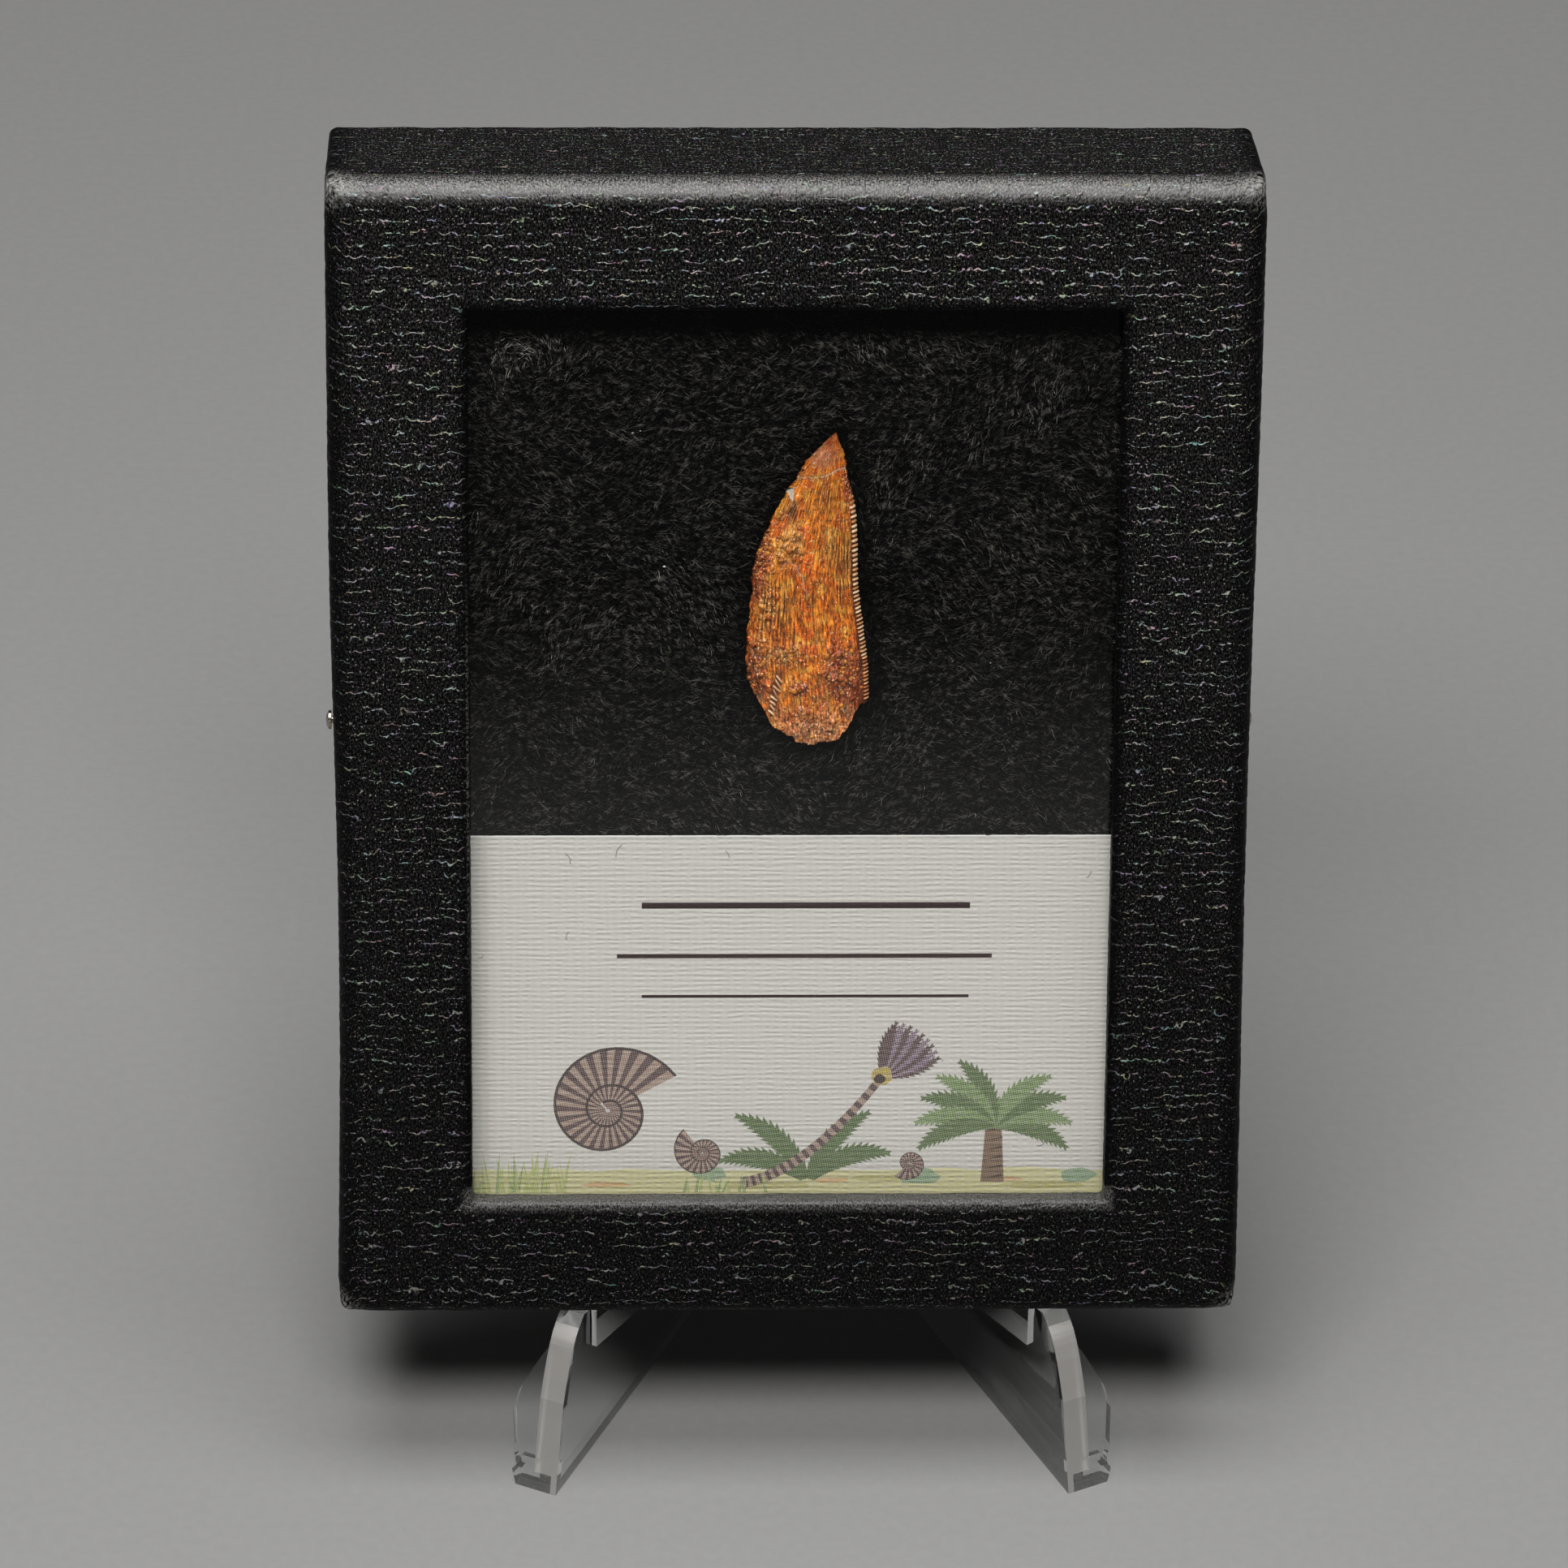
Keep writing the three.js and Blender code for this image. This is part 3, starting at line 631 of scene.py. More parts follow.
offset = add(tree, "ShaderNodeVectorMath", scale, operation="SCALE").outputs[0]
moved = add(tree, "GeometryNodeSetPosition", {"Geometry": given["Geometry"], "Offset": offset})
put(result, moved.outputs[0])
lid = grown("leather_lid", lid_base, emboss, {"Row spacing": 1.15, "Lump depth": 0.05})
bpy.data.objects.remove(lid_base)
finish_piece(lid, leather, "leatherette", "lid")

# %% [markdown]
# ## The glass
#
# The window pane is a plain slab, so the solid stays and only gets its material. Real glass bends
# and reflects light, which a transmitting shader does, but the lamps would then reach the tooth
# only by luck. For rays that look for a lamp, and for light scattered inside the box, the pane is
# simply clear.

# %% Clear materials
def clear_material(name, tint, shine, roughness, ior):
    made, tree, shader = new_material(
        name, Base_Color=tint, Roughness=roughness, IOR=ior, Transmission_Weight=1.0,
        Specular_IOR_Level=shine,
    )
    path = add(tree, "ShaderNodeLightPath").outputs
    clear = add(tree, "ShaderNodeBsdfTransparent", {"Color": tint}).outputs[0]
    output = tree.nodes["Material Output"]
    glass = tree.nodes["Principled BSDF"].outputs[0]
    passed = maths(tree, "MAXIMUM", path["Is Shadow Ray"], path["Is Diffuse Ray"])
    feed(output.inputs, Surface=add(tree, "ShaderNodeMixShader", {0: passed, 1: glass, 2: clear}).outputs[0])
    return made, tree, shader


coat(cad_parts["glass_pane"], clear_material(
    "window_glass", (0.98, 0.99, 0.985, 1), shine=0.03, roughness=0.0, ior=1.45)[0])
print("glass pane: the solid, in window glass")

# %% [markdown]
# ## The outline of the tooth
#
# The plush sinks under the tooth and the fibres lie away from it, so the tooth's outline is
# needed before the plush. It is the same pair of edges as in the solid: a smooth line through a
# few measured points for each edge, the front one curved and the hind one nearly straight, and a
# ragged break across the base.

# %% The tooth's edges in its own millimetres
TOOTH_HEIGHT = 30.2
FRONT_BULGE, BACK_BULGE, BULGE_POWER = 1.8, 1.6, 0.85


def through(points):
    """A smooth line x(y) through the given points."""
    xs, ys = np.array(points, float).T
    slopes = np.empty(len(xs))
    slopes[1:-1] = (xs[2:] - xs[:-2]) / (ys[2:] - ys[:-2])
    slopes[0] = (xs[1] - xs[0]) / (ys[1] - ys[0])
    slopes[-1] = (xs[-1] - xs[-2]) / (ys[-1] - ys[-2])

    def at(y):
        y = np.asarray(y, float)
        i = np.clip(np.searchsorted(ys, y, side="right") - 1, 0, len(ys) - 2)
        span = ys[i + 1] - ys[i]
        t = np.clip((y - ys[i]) / span, 0, 1)
        bend = t * (1 - t) * span * (slopes[i] * (1 - t) - slopes[i + 1] * t)
        return xs[i] + (xs[i + 1] - xs[i]) * t * t * (3 - 2 * t) + bend

    return at


hind_edge = through([
    (5.8, -2), (5.66, 4.3), (5.5, 8.2), (5.05, 12), (4.6, 15.5), (4.5, 18.5), (4.3, 22.6),
    (3.62, 26.4), (3.1, 28.7), (2.5, 30.2),
])
front_edge = through([
    (-4.4, -2), (-5.2, 4.9), (-5.75, 8.2), (-5.55, 12), (-5.25, 15.5), (-5.2, 17.2),
    (-4.5, 19.6), (-3.45, 22.2), (-2.3, 24.4), (-1.5, 25.7), (-0.5, 27.4), (0.7, 28.8),
    (1.6, 29.7), (2.25, 30.2),
])
BREAK_CORNERS = np.array([
    (-7, 6.6), (-5.4, 6.2), (-4.9, 5.3), (-4.4, 4.45), (-3.8, 3.6), (-3.35, 2.45), (-2.6, 2.15),
    (-1.85, 1.7), (-1.3, 1.6), (-1.1, 1.1), (-0.3, 1.05), (0.3, 0.8), (1, 1.05), (2.9, 1.2),
    (3.1, 1.75), (3.6, 2.2), (4, 2.9), (4.35, 3.6), (4.8, 4.3), (6.6, 4.5),
])


def base_break(x):
    """Height of the broken base at x, with chips of two sizes."""
    line = np.interp(x, *BREAK_CORNERS.T)
    chips = [noise.noise((4.5 * v, 2.2, 0)) * 0.16 + noise.noise((9 * v, 7.1, 0)) * 0.1 for v in x]
    return line + np.array(chips)


across = np.sin(np.linspace(-math.pi / 2, math.pi / 2, 200))
foot = np.full(across.shape, 2.0)
for _ in range(30):
    left, right = front_edge(foot), hind_edge(foot)
    foot += 0.35 * (base_break(left + (across + 1) / 2 * (right - left)) - foot)
print("tooth base runs from", round(float(foot.min()), 2), "to", round(float(foot.max()), 2), "mm")

# %% The outline as a closed loop, and the distance to it
climb = np.linspace(0, 1, 120)
hind_y = foot[-1] + (TOOTH_HEIGHT - foot[-1]) * climb
front_y = foot[0] + (TOOTH_HEIGHT - foot[0]) * climb[::-1]
base_left, base_right = front_edge(foot), hind_edge(foot)
base_x = base_left + (across + 1) / 2 * (base_right - base_left)
outline = np.concatenate([
    np.column_stack([base_x, foot]),
    np.column_stack([hind_edge(hind_y), hind_y]),
    np.column_stack([front_edge(front_y), front_y]),
])


def line_gap(path, x, y):
    """Millimetres from points to the nearest part of a path."""
    nearest = np.full(len(x), np.inf)
    for (ax, ay), (bx, by) in zip(path, path[1:]):
        length = max((bx - ax) ** 2 + (by - ay) ** 2, 1e-12)
        t = np.clip(((x - ax) * (bx - ax) + (y - ay) * (by - ay)) / length, 0, 1)
        nearest = np.minimum(nearest, np.hypot(x - ax - t * (bx - ax), y - ay - t * (by - ay)))
    return nearest


def outside_tooth(x, y):
    """Millimetres from points of the tooth's plane to its outline, negative inside."""
    loop = np.vstack([outline, outline[:1]])
    crossings = np.zeros(len(x), int)
    for (ax, ay), (bx, by) in zip(loop, loop[1:]):
        if ay != by:
            spans = (y > min(ay, by)) & (y <= max(ay, by))
            crossings += spans & (x < ax + (y - ay) / (by - ay) * (bx - ax))
    gap = line_gap(loop, x, y)
    return np.where(crossings % 2 == 1, -gap, gap)


def plush_level(u, v):
    """Depth of the plush's ground at a place of the face, and the distance to the tooth."""
    gap = outside_tooth(u - TOOTH_SHIFT, v - TOOTH_LIFT)
    t = np.clip(gap / 3.0, 0, 1)
    level = TOOTH_PLANE - 0.25 + (PAD_FRONT - TOOTH_PLANE + 0.25) * t * t * (3 - 2 * t)
    under = np.clip(-gap / 1.2, 0, 1)
    return level - 1.75 * under, gap


print("outline:", len(outline), "points")

# %% [markdown]
# ## The plush pad
#
# A block of foam covered in fleece fills the tray. It is a stuffed piece, so its shape comes from
# a short cloth simulation: the block is remeshed, blown up a little, and its swelling is capped.
# The tray and the glass then press it flat again where it touches them, and the tooth has sunk
# into it, which a smooth dip round the tooth's outline gives.

# %% Blow up and press the pad
PAD_START, PAD_CAP, PAD_FRAMES, PAD_PRESSURE, PAD_VOXEL = 0.9, 1.0, 20, 4, 0.004


def as_plain(made):
    """Keeps what the modifiers make and removes them."""
    mesh = what_it_makes(made)
    made.modifiers.clear()
    made.data = mesh


half = (PAD_WIDTH / 2 - PAD_START, PAD_HEIGHT / 2 - PAD_START)
depths = (PAD_BACK + PAD_START, PAD_FRONT - PAD_START)
block = [(x, y, z) for x in (-half[0], half[0]) for y in (-half[1], half[1]) for z in depths]
sides = [(0, 1, 3, 2), (4, 6, 7, 5), (0, 4, 5, 1), (2, 3, 7, 6), (0, 2, 6, 4), (1, 5, 7, 3)]
pad = mesh_object("plush_bed", block, sides)
pad.data.transform(Matrix.Scale(0.001, 4))
remesh = pad.modifiers.new("remesh", "REMESH")
remesh.mode, remesh.voxel_size = "VOXEL", PAD_VOXEL
as_plain(pad)
before = positions(pad)
cloth = pad.modifiers.new("cloth", "CLOTH")
cloth.settings.use_pressure, cloth.settings.uniform_pressure_force = True, PAD_PRESSURE
cloth.settings.effector_weights.gravity = 0
for step in range(1, PAD_FRAMES + 1):
    bpy.context.scene.frame_set(step)
as_plain(pad)
bpy.context.scene.frame_set(1)
moves = positions(pad) - before
lengths = np.linalg.norm(moves, axis=1, keepdims=True)
moves *= np.minimum(1, PAD_CAP / 1000 / np.maximum(lengths, 1e-9))
move_points(pad, (before + moves) * 1000)
divide = pad.modifiers.new("divide", "SUBSURF")
divide.levels = divide.render_levels = 2
as_plain(pad)
print("pad swelled by up to", round(1000 * float(lengths.max()), 2), "mm before its cap")

# %% Press it into the tray, under the glass and round the tooth
PAD_FRONT_HALF, UNDER_LEVEL = -9, 0.12
points = positions(pad)
for axis, half_size in ((0, PAD_WIDTH / 2), (1, PAD_HEIGHT / 2)):
    points[:, axis] = np.clip(points[:, axis], -half_size, half_size)
level, _ = plush_level(points[:, 0], points[:, 1])
nap = np.array([noise.noise((0.5 * p[0], 0.5 * p[1], 3)) for p in points])
pressed = np.minimum(points[:, 2], level - UNDER_LEVEL + 0.1 * nap)
points[:, 2] = np.where(points[:, 2] > PAD_FRONT_HALF, pressed, points[:, 2])
points[:, 2] = np.clip(points[:, 2], PAD_BACK, PAD_FRONT)
move_points(pad, points)

plush_cloth, tree, shader = new_material("black_plush_ground", Roughness=0.9)
place = box_place(tree)
weave = cloud(tree, place, 3.5, 3)
tone = blend(tree, weave, (0.002, 0.002, 0.002, 1), (0.009, 0.009, 0.01, 1))
feed(shader, Base_Color=tone, Normal=bump(tree, maths(tree, "MULTIPLY", weave, 0.15)))
feed(shader, Specular_IOR_Level=0.1)
finish_piece(pad, plush_cloth, "plush", "plush_pad")

# %% [markdown]
# ## The fibres of the plush
#
# The pile is fine crimped fibre, brushed mostly across the box, with a small whorl near the upper
# left corner. A hair system would not survive the export, so a geometry tree grows real ribbons:
# points are strewn over a carpet mesh, each gets a bent curve turned to the brushing, noise
# crimps the curves, and a flat profile turns them into ribbons with only a few faces each. The
# carpet's own fields say where fibres grow, how high, and which way they lie.

# %% The carpet the fibres grow on
CARPET_STEP = 0.5
WHORL = (-24.2, 37.0, 4.5)
us = np.arange(-31, 31.01, CARPET_STEP)
vs = np.arange(CARD_TOP - 0.4, 43.61, CARPET_STEP)
u, v = (grid.ravel() for grid in np.meshgrid(us, vs))
level, gap = plush_level(u, v)
carpet = mesh_object("carpet", np.column_stack([u, v, level - 0.1]), grid_faces(len(vs), len(us)))
bend = np.array([
    1.3 * noise.noise((a / 15, b / 12, 3)) + 0.7 * noise.noise((a / 5, b / 4, 8)) for a, b in zip(u, v)
])
lay = 0.12 + bend
around_whorl = np.arctan2(v - WHORL[1], u - WHORL[0]) + math.pi / 2
in_whorl = np.clip(1.3 - np.hypot(u - WHORL[0], v - WHORL[1]) / WHORL[2], 0, 1)
ways = np.column_stack([np.cos(lay), np.sin(lay)]) * (1 - in_whorl)[:, None]
ways += np.column_stack([np.cos(around_whorl), np.sin(around_whorl)]) * in_whorl[:, None]
slope_v, slope_u = np.gradient(gap.reshape(len(vs), len(us)), CARPET_STEP)
beside = np.column_stack([-slope_v.ravel(), slope_u.ravel()])
beside *= np.where((beside * ways).sum(1) < 0, -1, 1)[:, None]
close = np.clip(1 - gap / 1.8, 0, 1)[:, None]
ways = ways * (1 - close) + beside * close
field(carpet, "lay", np.column_stack([ways, np.zeros(len(u))]), "FLOAT_VECTOR")
field(carpet, "cover", np.clip((gap - 0.15) / 0.3, 0, 1) * (v > CARD_TOP + 0.2))
field(carpet, "reach", 0.35 + 0.65 * np.clip(gap / 2.5, 0, 1) + 0.15 * in_whorl)
print("carpet:", len(u), "points")

# %% Steps that the trees share
def strewn_points(tree, given, where, per_mm2):
    """Points strewn over the base, as densely as a field of it says."""
    return add(tree, "GeometryNodeDistributePointsOnFaces", {
        "Mesh": given["Geometry"], "Seed": given["Seed"],
        "Density": maths(tree, "MULTIPLY", named(tree, where), given[per_mm2])}).outputs[0]


def toned_copies(tree, points, shape, turn, size, seed):
    """A copy of a shape at each point, each with a tone of its own, as real geometry."""
    copies = add(tree, "GeometryNodeInstanceOnPoints", {
        "Points": points, "Instance": shape, "Rotation": turn, "Scale": size}).outputs[0]
    toned = add(tree, "GeometryNodeStoreNamedAttribute", {
        "Geometry": copies, "Name": "tone", "Value": chance(tree, 0.0, 1.0, seed)},
        data_type="FLOAT", domain="INSTANCE").outputs[0]
    return add(tree, "GeometryNodeRealizeInstances", {0: toned}).outputs[0]


def shifted(tree, geometry, offset):
    return add(tree, "GeometryNodeSetPosition", {"Geometry": geometry, "Offset": offset}).outputs[0]


def paint(tree, geometry, given, result):
    painted = {"Geometry": geometry, "Material": given["Material"]}
    put(result, add(tree, "GeometryNodeSetMaterial", painted).outputs[0])
    print(f"{tree.name}: {len(tree.nodes)} nodes")


# %% The tree that grows fibres
pile, given, result = geometry_tree(
    "plush_pile",
    {
        "Fibres per mm2": ("Float", 5.0),
        "Length": ("Float", 2.6),
        "Height": ("Float", 0.5),
        "Width": ("Float", 0.07),
        "Crimp": ("Float", 0.2),
        "Seed": ("Int", 1),
        "Material": ("Material", None),
    },
)
tree = pile
roots = strewn_points(tree, given, "cover", "Fibres per mm2")
way = apart(tree, named(tree, "lay", "FLOAT_VECTOR"))
heading = maths(tree, "ADD", maths(tree, "ARCTAN2", way[1], way[0]), chance(tree, -0.8, 0.8, 11))
lift = maths(tree, "MULTIPLY", chance(tree, 0.25, 1.0, 12), named(tree, "reach"))
size = together(tree, chance(tree, 0.55, 1.15, 13), 1.0, lift)
STEM = {"Start": (-0.35, 0.0), "Middle": (-0.1, 1.7), "End": (0.65, 0.6)}  # in lengths and heights
bends = {
    name: together(tree, maths(tree, "MULTIPLY", given["Length"], along), 0.0,
                   maths(tree, "MULTIPLY", given["Height"], up))
    for name, (along, up) in STEM.items()
}
stem = add(tree, "GeometryNodeCurveQuadraticBezier", {"Resolution": 5, **bends}).outputs[0]
curves = toned_copies(tree, roots, stem, together(tree, 0.0, 0.0, heading), size, 14)
print("roots, stems and tones:", len(tree.nodes), "nodes")

# %% Crimp the fibres and give them width
position = add(tree, "GeometryNodeInputPosition").outputs[0]
own = maths(tree, "MULTIPLY", named(tree, "tone"), 40.0)
crimp = add(tree, "ShaderNodeTexNoise", {
    "Vector": position, "W": own, "Scale": 1.3, "Detail": 1.0}, noise_dimensions="4D").outputs[1]
tuft = cloud(tree, position, 0.8, 2, output=1)
curl = vectors(tree, "SUBTRACT", vectors(tree, "ADD", crimp, tuft), (1.0, 1.0, 1.0))
share = add(tree, "GeometryNodeSplineParameter").outputs["Factor"]
amount = maths(tree, "MULTIPLY", given["Crimp"], maths(tree, "MULTIPLY_ADD", share, 3.5, 2.0))
curl = stretched(tree, curl, together(tree, amount, amount, maths(tree, "MULTIPLY", amount, 0.25)))
taper = maths(tree, "SUBTRACT", 1.0, maths(tree, "MULTIPLY", maths(tree, "POWER", share, 2.0), 0.7))
bent = {"Curve": shifted(tree, curves, curl), "Radius": taper}
thick = add(tree, "GeometryNodeSetCurveRadius", bent).outputs[0]
level_up = add(tree, "GeometryNodeSetCurveNormal", {"Curve": thick}, mode="Z_UP").outputs[0]
tilt = maths(tree, "MULTIPLY_ADD", named(tree, "tone"), 2.4, -1.2)
tilted = add(tree, "GeometryNodeSetCurveTilt", {"Curve": level_up, "Tilt": tilt}).outputs[0]
half_width = maths(tree, "MULTIPLY", given["Width"], 0.5)
profile = add(tree, "GeometryNodeCurvePrimitiveLine", {
    "Start": together(tree, maths(tree, "MULTIPLY", half_width, -1.0)),
    "End": together(tree, half_width)}).outputs[0]
ribbons = add(tree, "GeometryNodeCurveToMesh", {"Curve": tilted, "Profile Curve": profile}).outputs[0]
whole = add(tree, "GeometryNodeRealizeInstances", {0: ribbons}).outputs[0]
paint(tree, whole, given, result)

# %% The fibre material
plush_fibre, tree, shader = new_material("black_plush_fibre", Roughness=0.4)
tone = kept(tree, "tone")
place = box_place(tree)
tufts = cloud(tree, stretched(tree, place, (0.7, 1.6, 1)), detail=2)
# Pale fibres: partly the pile's own mixed tone, partly painted glints in place of shine.
bright = maths(tree, "POWER", tone, 5.4)
for shade, low, high, start, end in (
    (tufts, 0.36, 0.62, 0.25, 1.0),
    (cloud(tree, place, 1.9, 1), 0.38, 0.6, 0.15, 1.6),
    (apart(tree, place)[1], 38.2, 40.4, 1.0, 0.05),  # the shadow under the upper frame
    # painted shade: the pile darkens in a halo round the tooth
    (kept(tree, "reach"), 0.45, 0.98, 0.12, 1.0),  # the dark halo round the tooth
):
    bright = maths(tree, "MULTIPLY", bright, ramp(tree, shade, low, high, start, end))
dark = blend(tree, bright, (0.0004, 0.0004, 0.0005, 1), (0.95, 0.90, 0.82, 1))
feed(shader, Base_Color=dark, Specular_IOR_Level=0.02)
print("fibre material:", len(tree.nodes), "nodes")

# %% Four layers of pile
FIBRES_PER_MM2, CRIMP, FIBRE_GAP = 5.8, 0.2, 0.12
layers = [  # name, length, height, width, seed
    ("plush_pile_low", 1.9, 0.3, 0.08, 21),
    ("plush_pile_mid", 2.2, 0.45, 0.07, 22),
    ("plush_pile_top", 2.5, 0.6, 0.065, 23),
    ("plush_pile_fine", 1.7, 0.65, 0.055, 24),
]
for name, length, height, width, seed in layers:
    layer = grown(name, carpet, pile, {
        "Fibres per mm2": FIBRES_PER_MM2, "Length": length, "Height": height, "Width": width,
        "Crimp": CRIMP, "Seed": seed, "Material": plush_fibre})
    points = positions(layer)
    points[:, 2] = np.minimum(points[:, 2], GLASS_BACK - FIBRE_GAP)
    points[:, 1] = np.maximum(points[:, 1], CARD_TOP + 0.02)
    move_points(layer, points)
    finish_piece(layer, plush_fibre, "plush")
bpy.data.objects.remove(carpet)

# %% [markdown]
# ## The printed card
#
# The card is stiff paper embossed like linen. Its print is a quiet frieze of things from an old
# sea shore: ribbed shells, ferns, a sea lily and a cycad over a wash of ground. Above it stand
# three ruled lines, each finer than the one above. The print lies in the card's own mesh: every
# shape is an outline, a constrained triangulation cuts the front of the card along all of them,
# and each little face takes the ink of the topmost shape over it.

# %% Inks
def ink(red, green, blue):
    """A colour given in 0 to 255 screen values, as light."""
    return tuple(((c / 255 + 0.055) / 1.055) ** 2.4 for c in (red, green, blue)) + (1.0,)


PAPER = ink(226, 221, 215)
INKS = {
    "rule": ink(44, 26, 26), "rib": ink(166, 134, 116), "groove": ink(84, 56, 58),
    "edge": ink(56, 38, 38), "ground": ink(222, 214, 156), "shade": ink(196, 186, 112),
    "sand": ink(222, 178, 116), "bush": ink(140, 168, 128), "leaf": ink(108, 138, 66),
    "blade": ink(188, 196, 110), "moss": ink(146, 168, 96), "trunk": ink(128, 98, 74),
    "frond": ink(84, 108, 52), "plume": ink(128, 98, 126), "mustard": ink(190, 164, 62),
}
DOTTED = {"rule": 0.0, "edge": 0.3, "groove": 0.5, "trunk": 0.5, "frond": 0.6}
print("inks:", len(INKS))

# %% Simple shapes of the print
CARD_HALF, CARD_FOOT, BLOB_SIDES = 37.5, CARD_TOP - 42, 14
shapes = []
sketch = random.Random(5)


def shape(tint, points):
    shapes.append((tint, [(float(a), float(b)) for a, b in points]))


def strip(tint, start, end, side):
    """A straight strip from start to end, reaching out by side on both hands."""
    (ax, ay), (bx, by), (sx, sy) = start, end, side
    shape(tint, [(ax - sx, ay - sy), (bx - sx, by - sy), (bx + sx, by + sy), (ax + sx, ay + sy)])


def blob(tint, cx, cy, rx, ry):
    ring = []
    for i in range(BLOB_SIDES):
        angle = 2 * math.pi * i / BLOB_SIDES
        reach = 1 + 0.16 * sketch.uniform(-1, 1)
        ring.append((cx + rx * reach * math.cos(angle), cy + ry * reach * math.sin(angle)))
    shape(tint, ring)


def blade(tint, x, foot, height, width, lean):
    shape(tint, [(x - width, foot), (x + width, foot), (x + lean * 0.55 + width * 0.5, foot + height * 0.6),
                 (x + lean, foot + height), (x + lean * 0.5 - width * 0.6, foot + height * 0.6)])


print("the card is", 2 * CARD_HALF, "mm wide")

# %% Shells, leaves and a sea lily
def shell(cx, cy, radius, turn, turns=2.3, ribs=26, shrink=0.42):
    """A ribbed spiral shell: each rib and each groove is one patch between two whorls."""
    def reach(t):
        return radius * shrink ** (t / (2 * math.pi))

    def spot(t, r):
        return cx + r * math.cos(turn + t), cy + r * math.sin(turn + t)

    step, rim = 2 * math.pi / ribs, 0.035 * radius
    for i in range(int(turns * ribs)):
        a, b, c = i * step, (i + 0.5) * step, (i + 1) * step
        for first, last, tint in ((a, b, "rib"), (b, c, "groove")):
            inner = 0.96 if i < ribs * (turns - 1) else 0.3
            shape(tint, [spot(first, reach(first + 2 * math.pi) * inner), spot(first, reach(first)),
                         spot(last, reach(last)), spot(last, reach(last + 2 * math.pi) * inner)])
        shape("edge", [spot(a, reach(a) - rim), spot(a, reach(a)),
                       spot(c, reach(c)), spot(c, reach(c) - rim)])


def frond(tint, x, y, length, angle, droop, leaflets=13, leaf=1.5):
    """A feather-shaped leaf: a bending stalk with leaflets on both sides."""
    heading = angle
    step = length / leaflets
    for i in range(leaflets):
        nx, ny = x + step * math.cos(heading), y + step * math.sin(heading)
        strip(tint, (x, y), (nx, ny), (-math.sin(heading) * 0.06, math.cos(heading) * 0.06))
        size = leaf * math.sin(math.pi * (0.12 + 0.83 * (i + 0.5) / leaflets))
        for way in (-1, 1):
            out = heading + way * 1.05
            tip = (nx + size * math.cos(out), ny + size * math.sin(out))
            bulge = out + way * 0.28
            mid = (x + size * 0.5 * math.cos(bulge), y + size * 0.5 * math.sin(bulge))
            shape(tint, [(x, y), (nx, ny), tip, mid][::way])
        x, y = nx, ny
        heading += droop / leaflets


def sea_lily(foot, top, rise, rings=38, weight=1.1):
    """A sea lily: a ringed stem that bends up to a cup with feathery arms."""
    for i in range(rings):
        (ax, ay), (bx, by) = (
            (foot[0] + (top[0] - foot[0]) * t, foot[1] + (top[1] - foot[1]) * t**rise)
            for t in (i / rings, (i + 1) / rings))
        way, w = math.atan2(by - ay, bx - ax), weight * (1 - 0.35 * i / rings) / 2
        side = (-math.sin(way) * w, math.cos(way) * w)
        strip("groove" if i % 2 else "rib", (ax, ay), (bx, by), side)
    for k in range(9):
        frond("plume" if k % 2 else "groove", *top, 5.6, 0.1 + 0.19 * k, 0.5 - 0.14 * k, 11, 0.85)
    blob("mustard", *top, 1.0, 0.9)
    blob("edge", top[0] - 0.3, top[1] - 0.3, 0.55, 0.45)


print("inks that thin to dots:", ", ".join(DOTTED))

# %% Draw the frieze
RULES = [(-13.7, 16.7, -15.2, 0.6), (-16, 18.8, -20.2, 0.42), (-13.7, 16.7, -24.2, 0.3)]
for left, right, height, weight in RULES:
    strip("rule", (left, height), (right, height), (0, weight / 2))
hills = [(-CARD_HALF + 2.5 * i, -41.6 + 0.5 * noise.noise((0.9 * i, 4.2, 0))) for i in range(31)]
shape("ground", [(-CARD_HALF, CARD_FOOT), (CARD_HALF, CARD_FOOT)] + hills[::-1])
BLOBS = {
    "shade": [(-24, -42.6, 3, 0.35), (-2, -43.2, 4, 0.4), (9, -42.5, 3, 0.3), (24, -43.2, 4, 0.4)],
    "sand": [(-17, -43.1, 2.2, 0.3), (4, -42.7, 1.8, 0.25), (20.5, -42.6, 1.6, 0.25)],
    "bush": [(-7.2, -42.1, 1.6, 0.7), (12.2, -42.3, 2.0, 0.8), (27.2, -42.2, 1.7, 0.7)],
}
for tint, places in BLOBS.items():
    for place in places:
        blob(tint, *place)
for x, length, angle, droop in (
    (1.5, 8.5, 2.4, 1.1), (1.7, 9.5, 1.95, 0.9), (2.0, 9.0, 1.25, -0.8), (2.2, 8.2, 0.85, -1.1),
):
    frond("frond", x, -42.6, length, angle, droop, 14, 1.35)
shape("trunk", [(18.1, -42.9), (20.3, -42.9), (20.0, -37.2), (18.5, -37.2)])
for i in range(6):
    shape("edge", [(18.2, -42.6 + 0.95 * i), (20.1, -42.3 + 0.95 * i), (20.1, -42.1 + 0.95 * i)])
for k in range(9):
    angle = 0.15 + k * (math.pi - 0.3) / 8
    frond("leaf" if k % 2 else "frond", 19.2, -37.3, 7.6, angle, 1.0 if angle > 1.57 else -1.0, 13, 1.25)
sea_lily((-4.4, -42.9), (8.8, -32.2), 1.7)
shell(-16.8, -35.6, 7.3, 0.5)
shell(-8.0, -39.9, 3.0, 2.2, ribs=20)
shell(11.4, -41.0, 1.9, 3.9, ribs=16)
for _ in range(52):
    x = sketch.uniform(-29.8, -20.5) if sketch.random() < 0.7 else sketch.uniform(-11, -1)
    tint = sketch.choice(("blade", "moss", "blade"))
    blade(tint, x, -43.9, sketch.uniform(1.4, 4.6 if x < -20 else 2.4), 0.16, sketch.uniform(-0.7, 0.7))
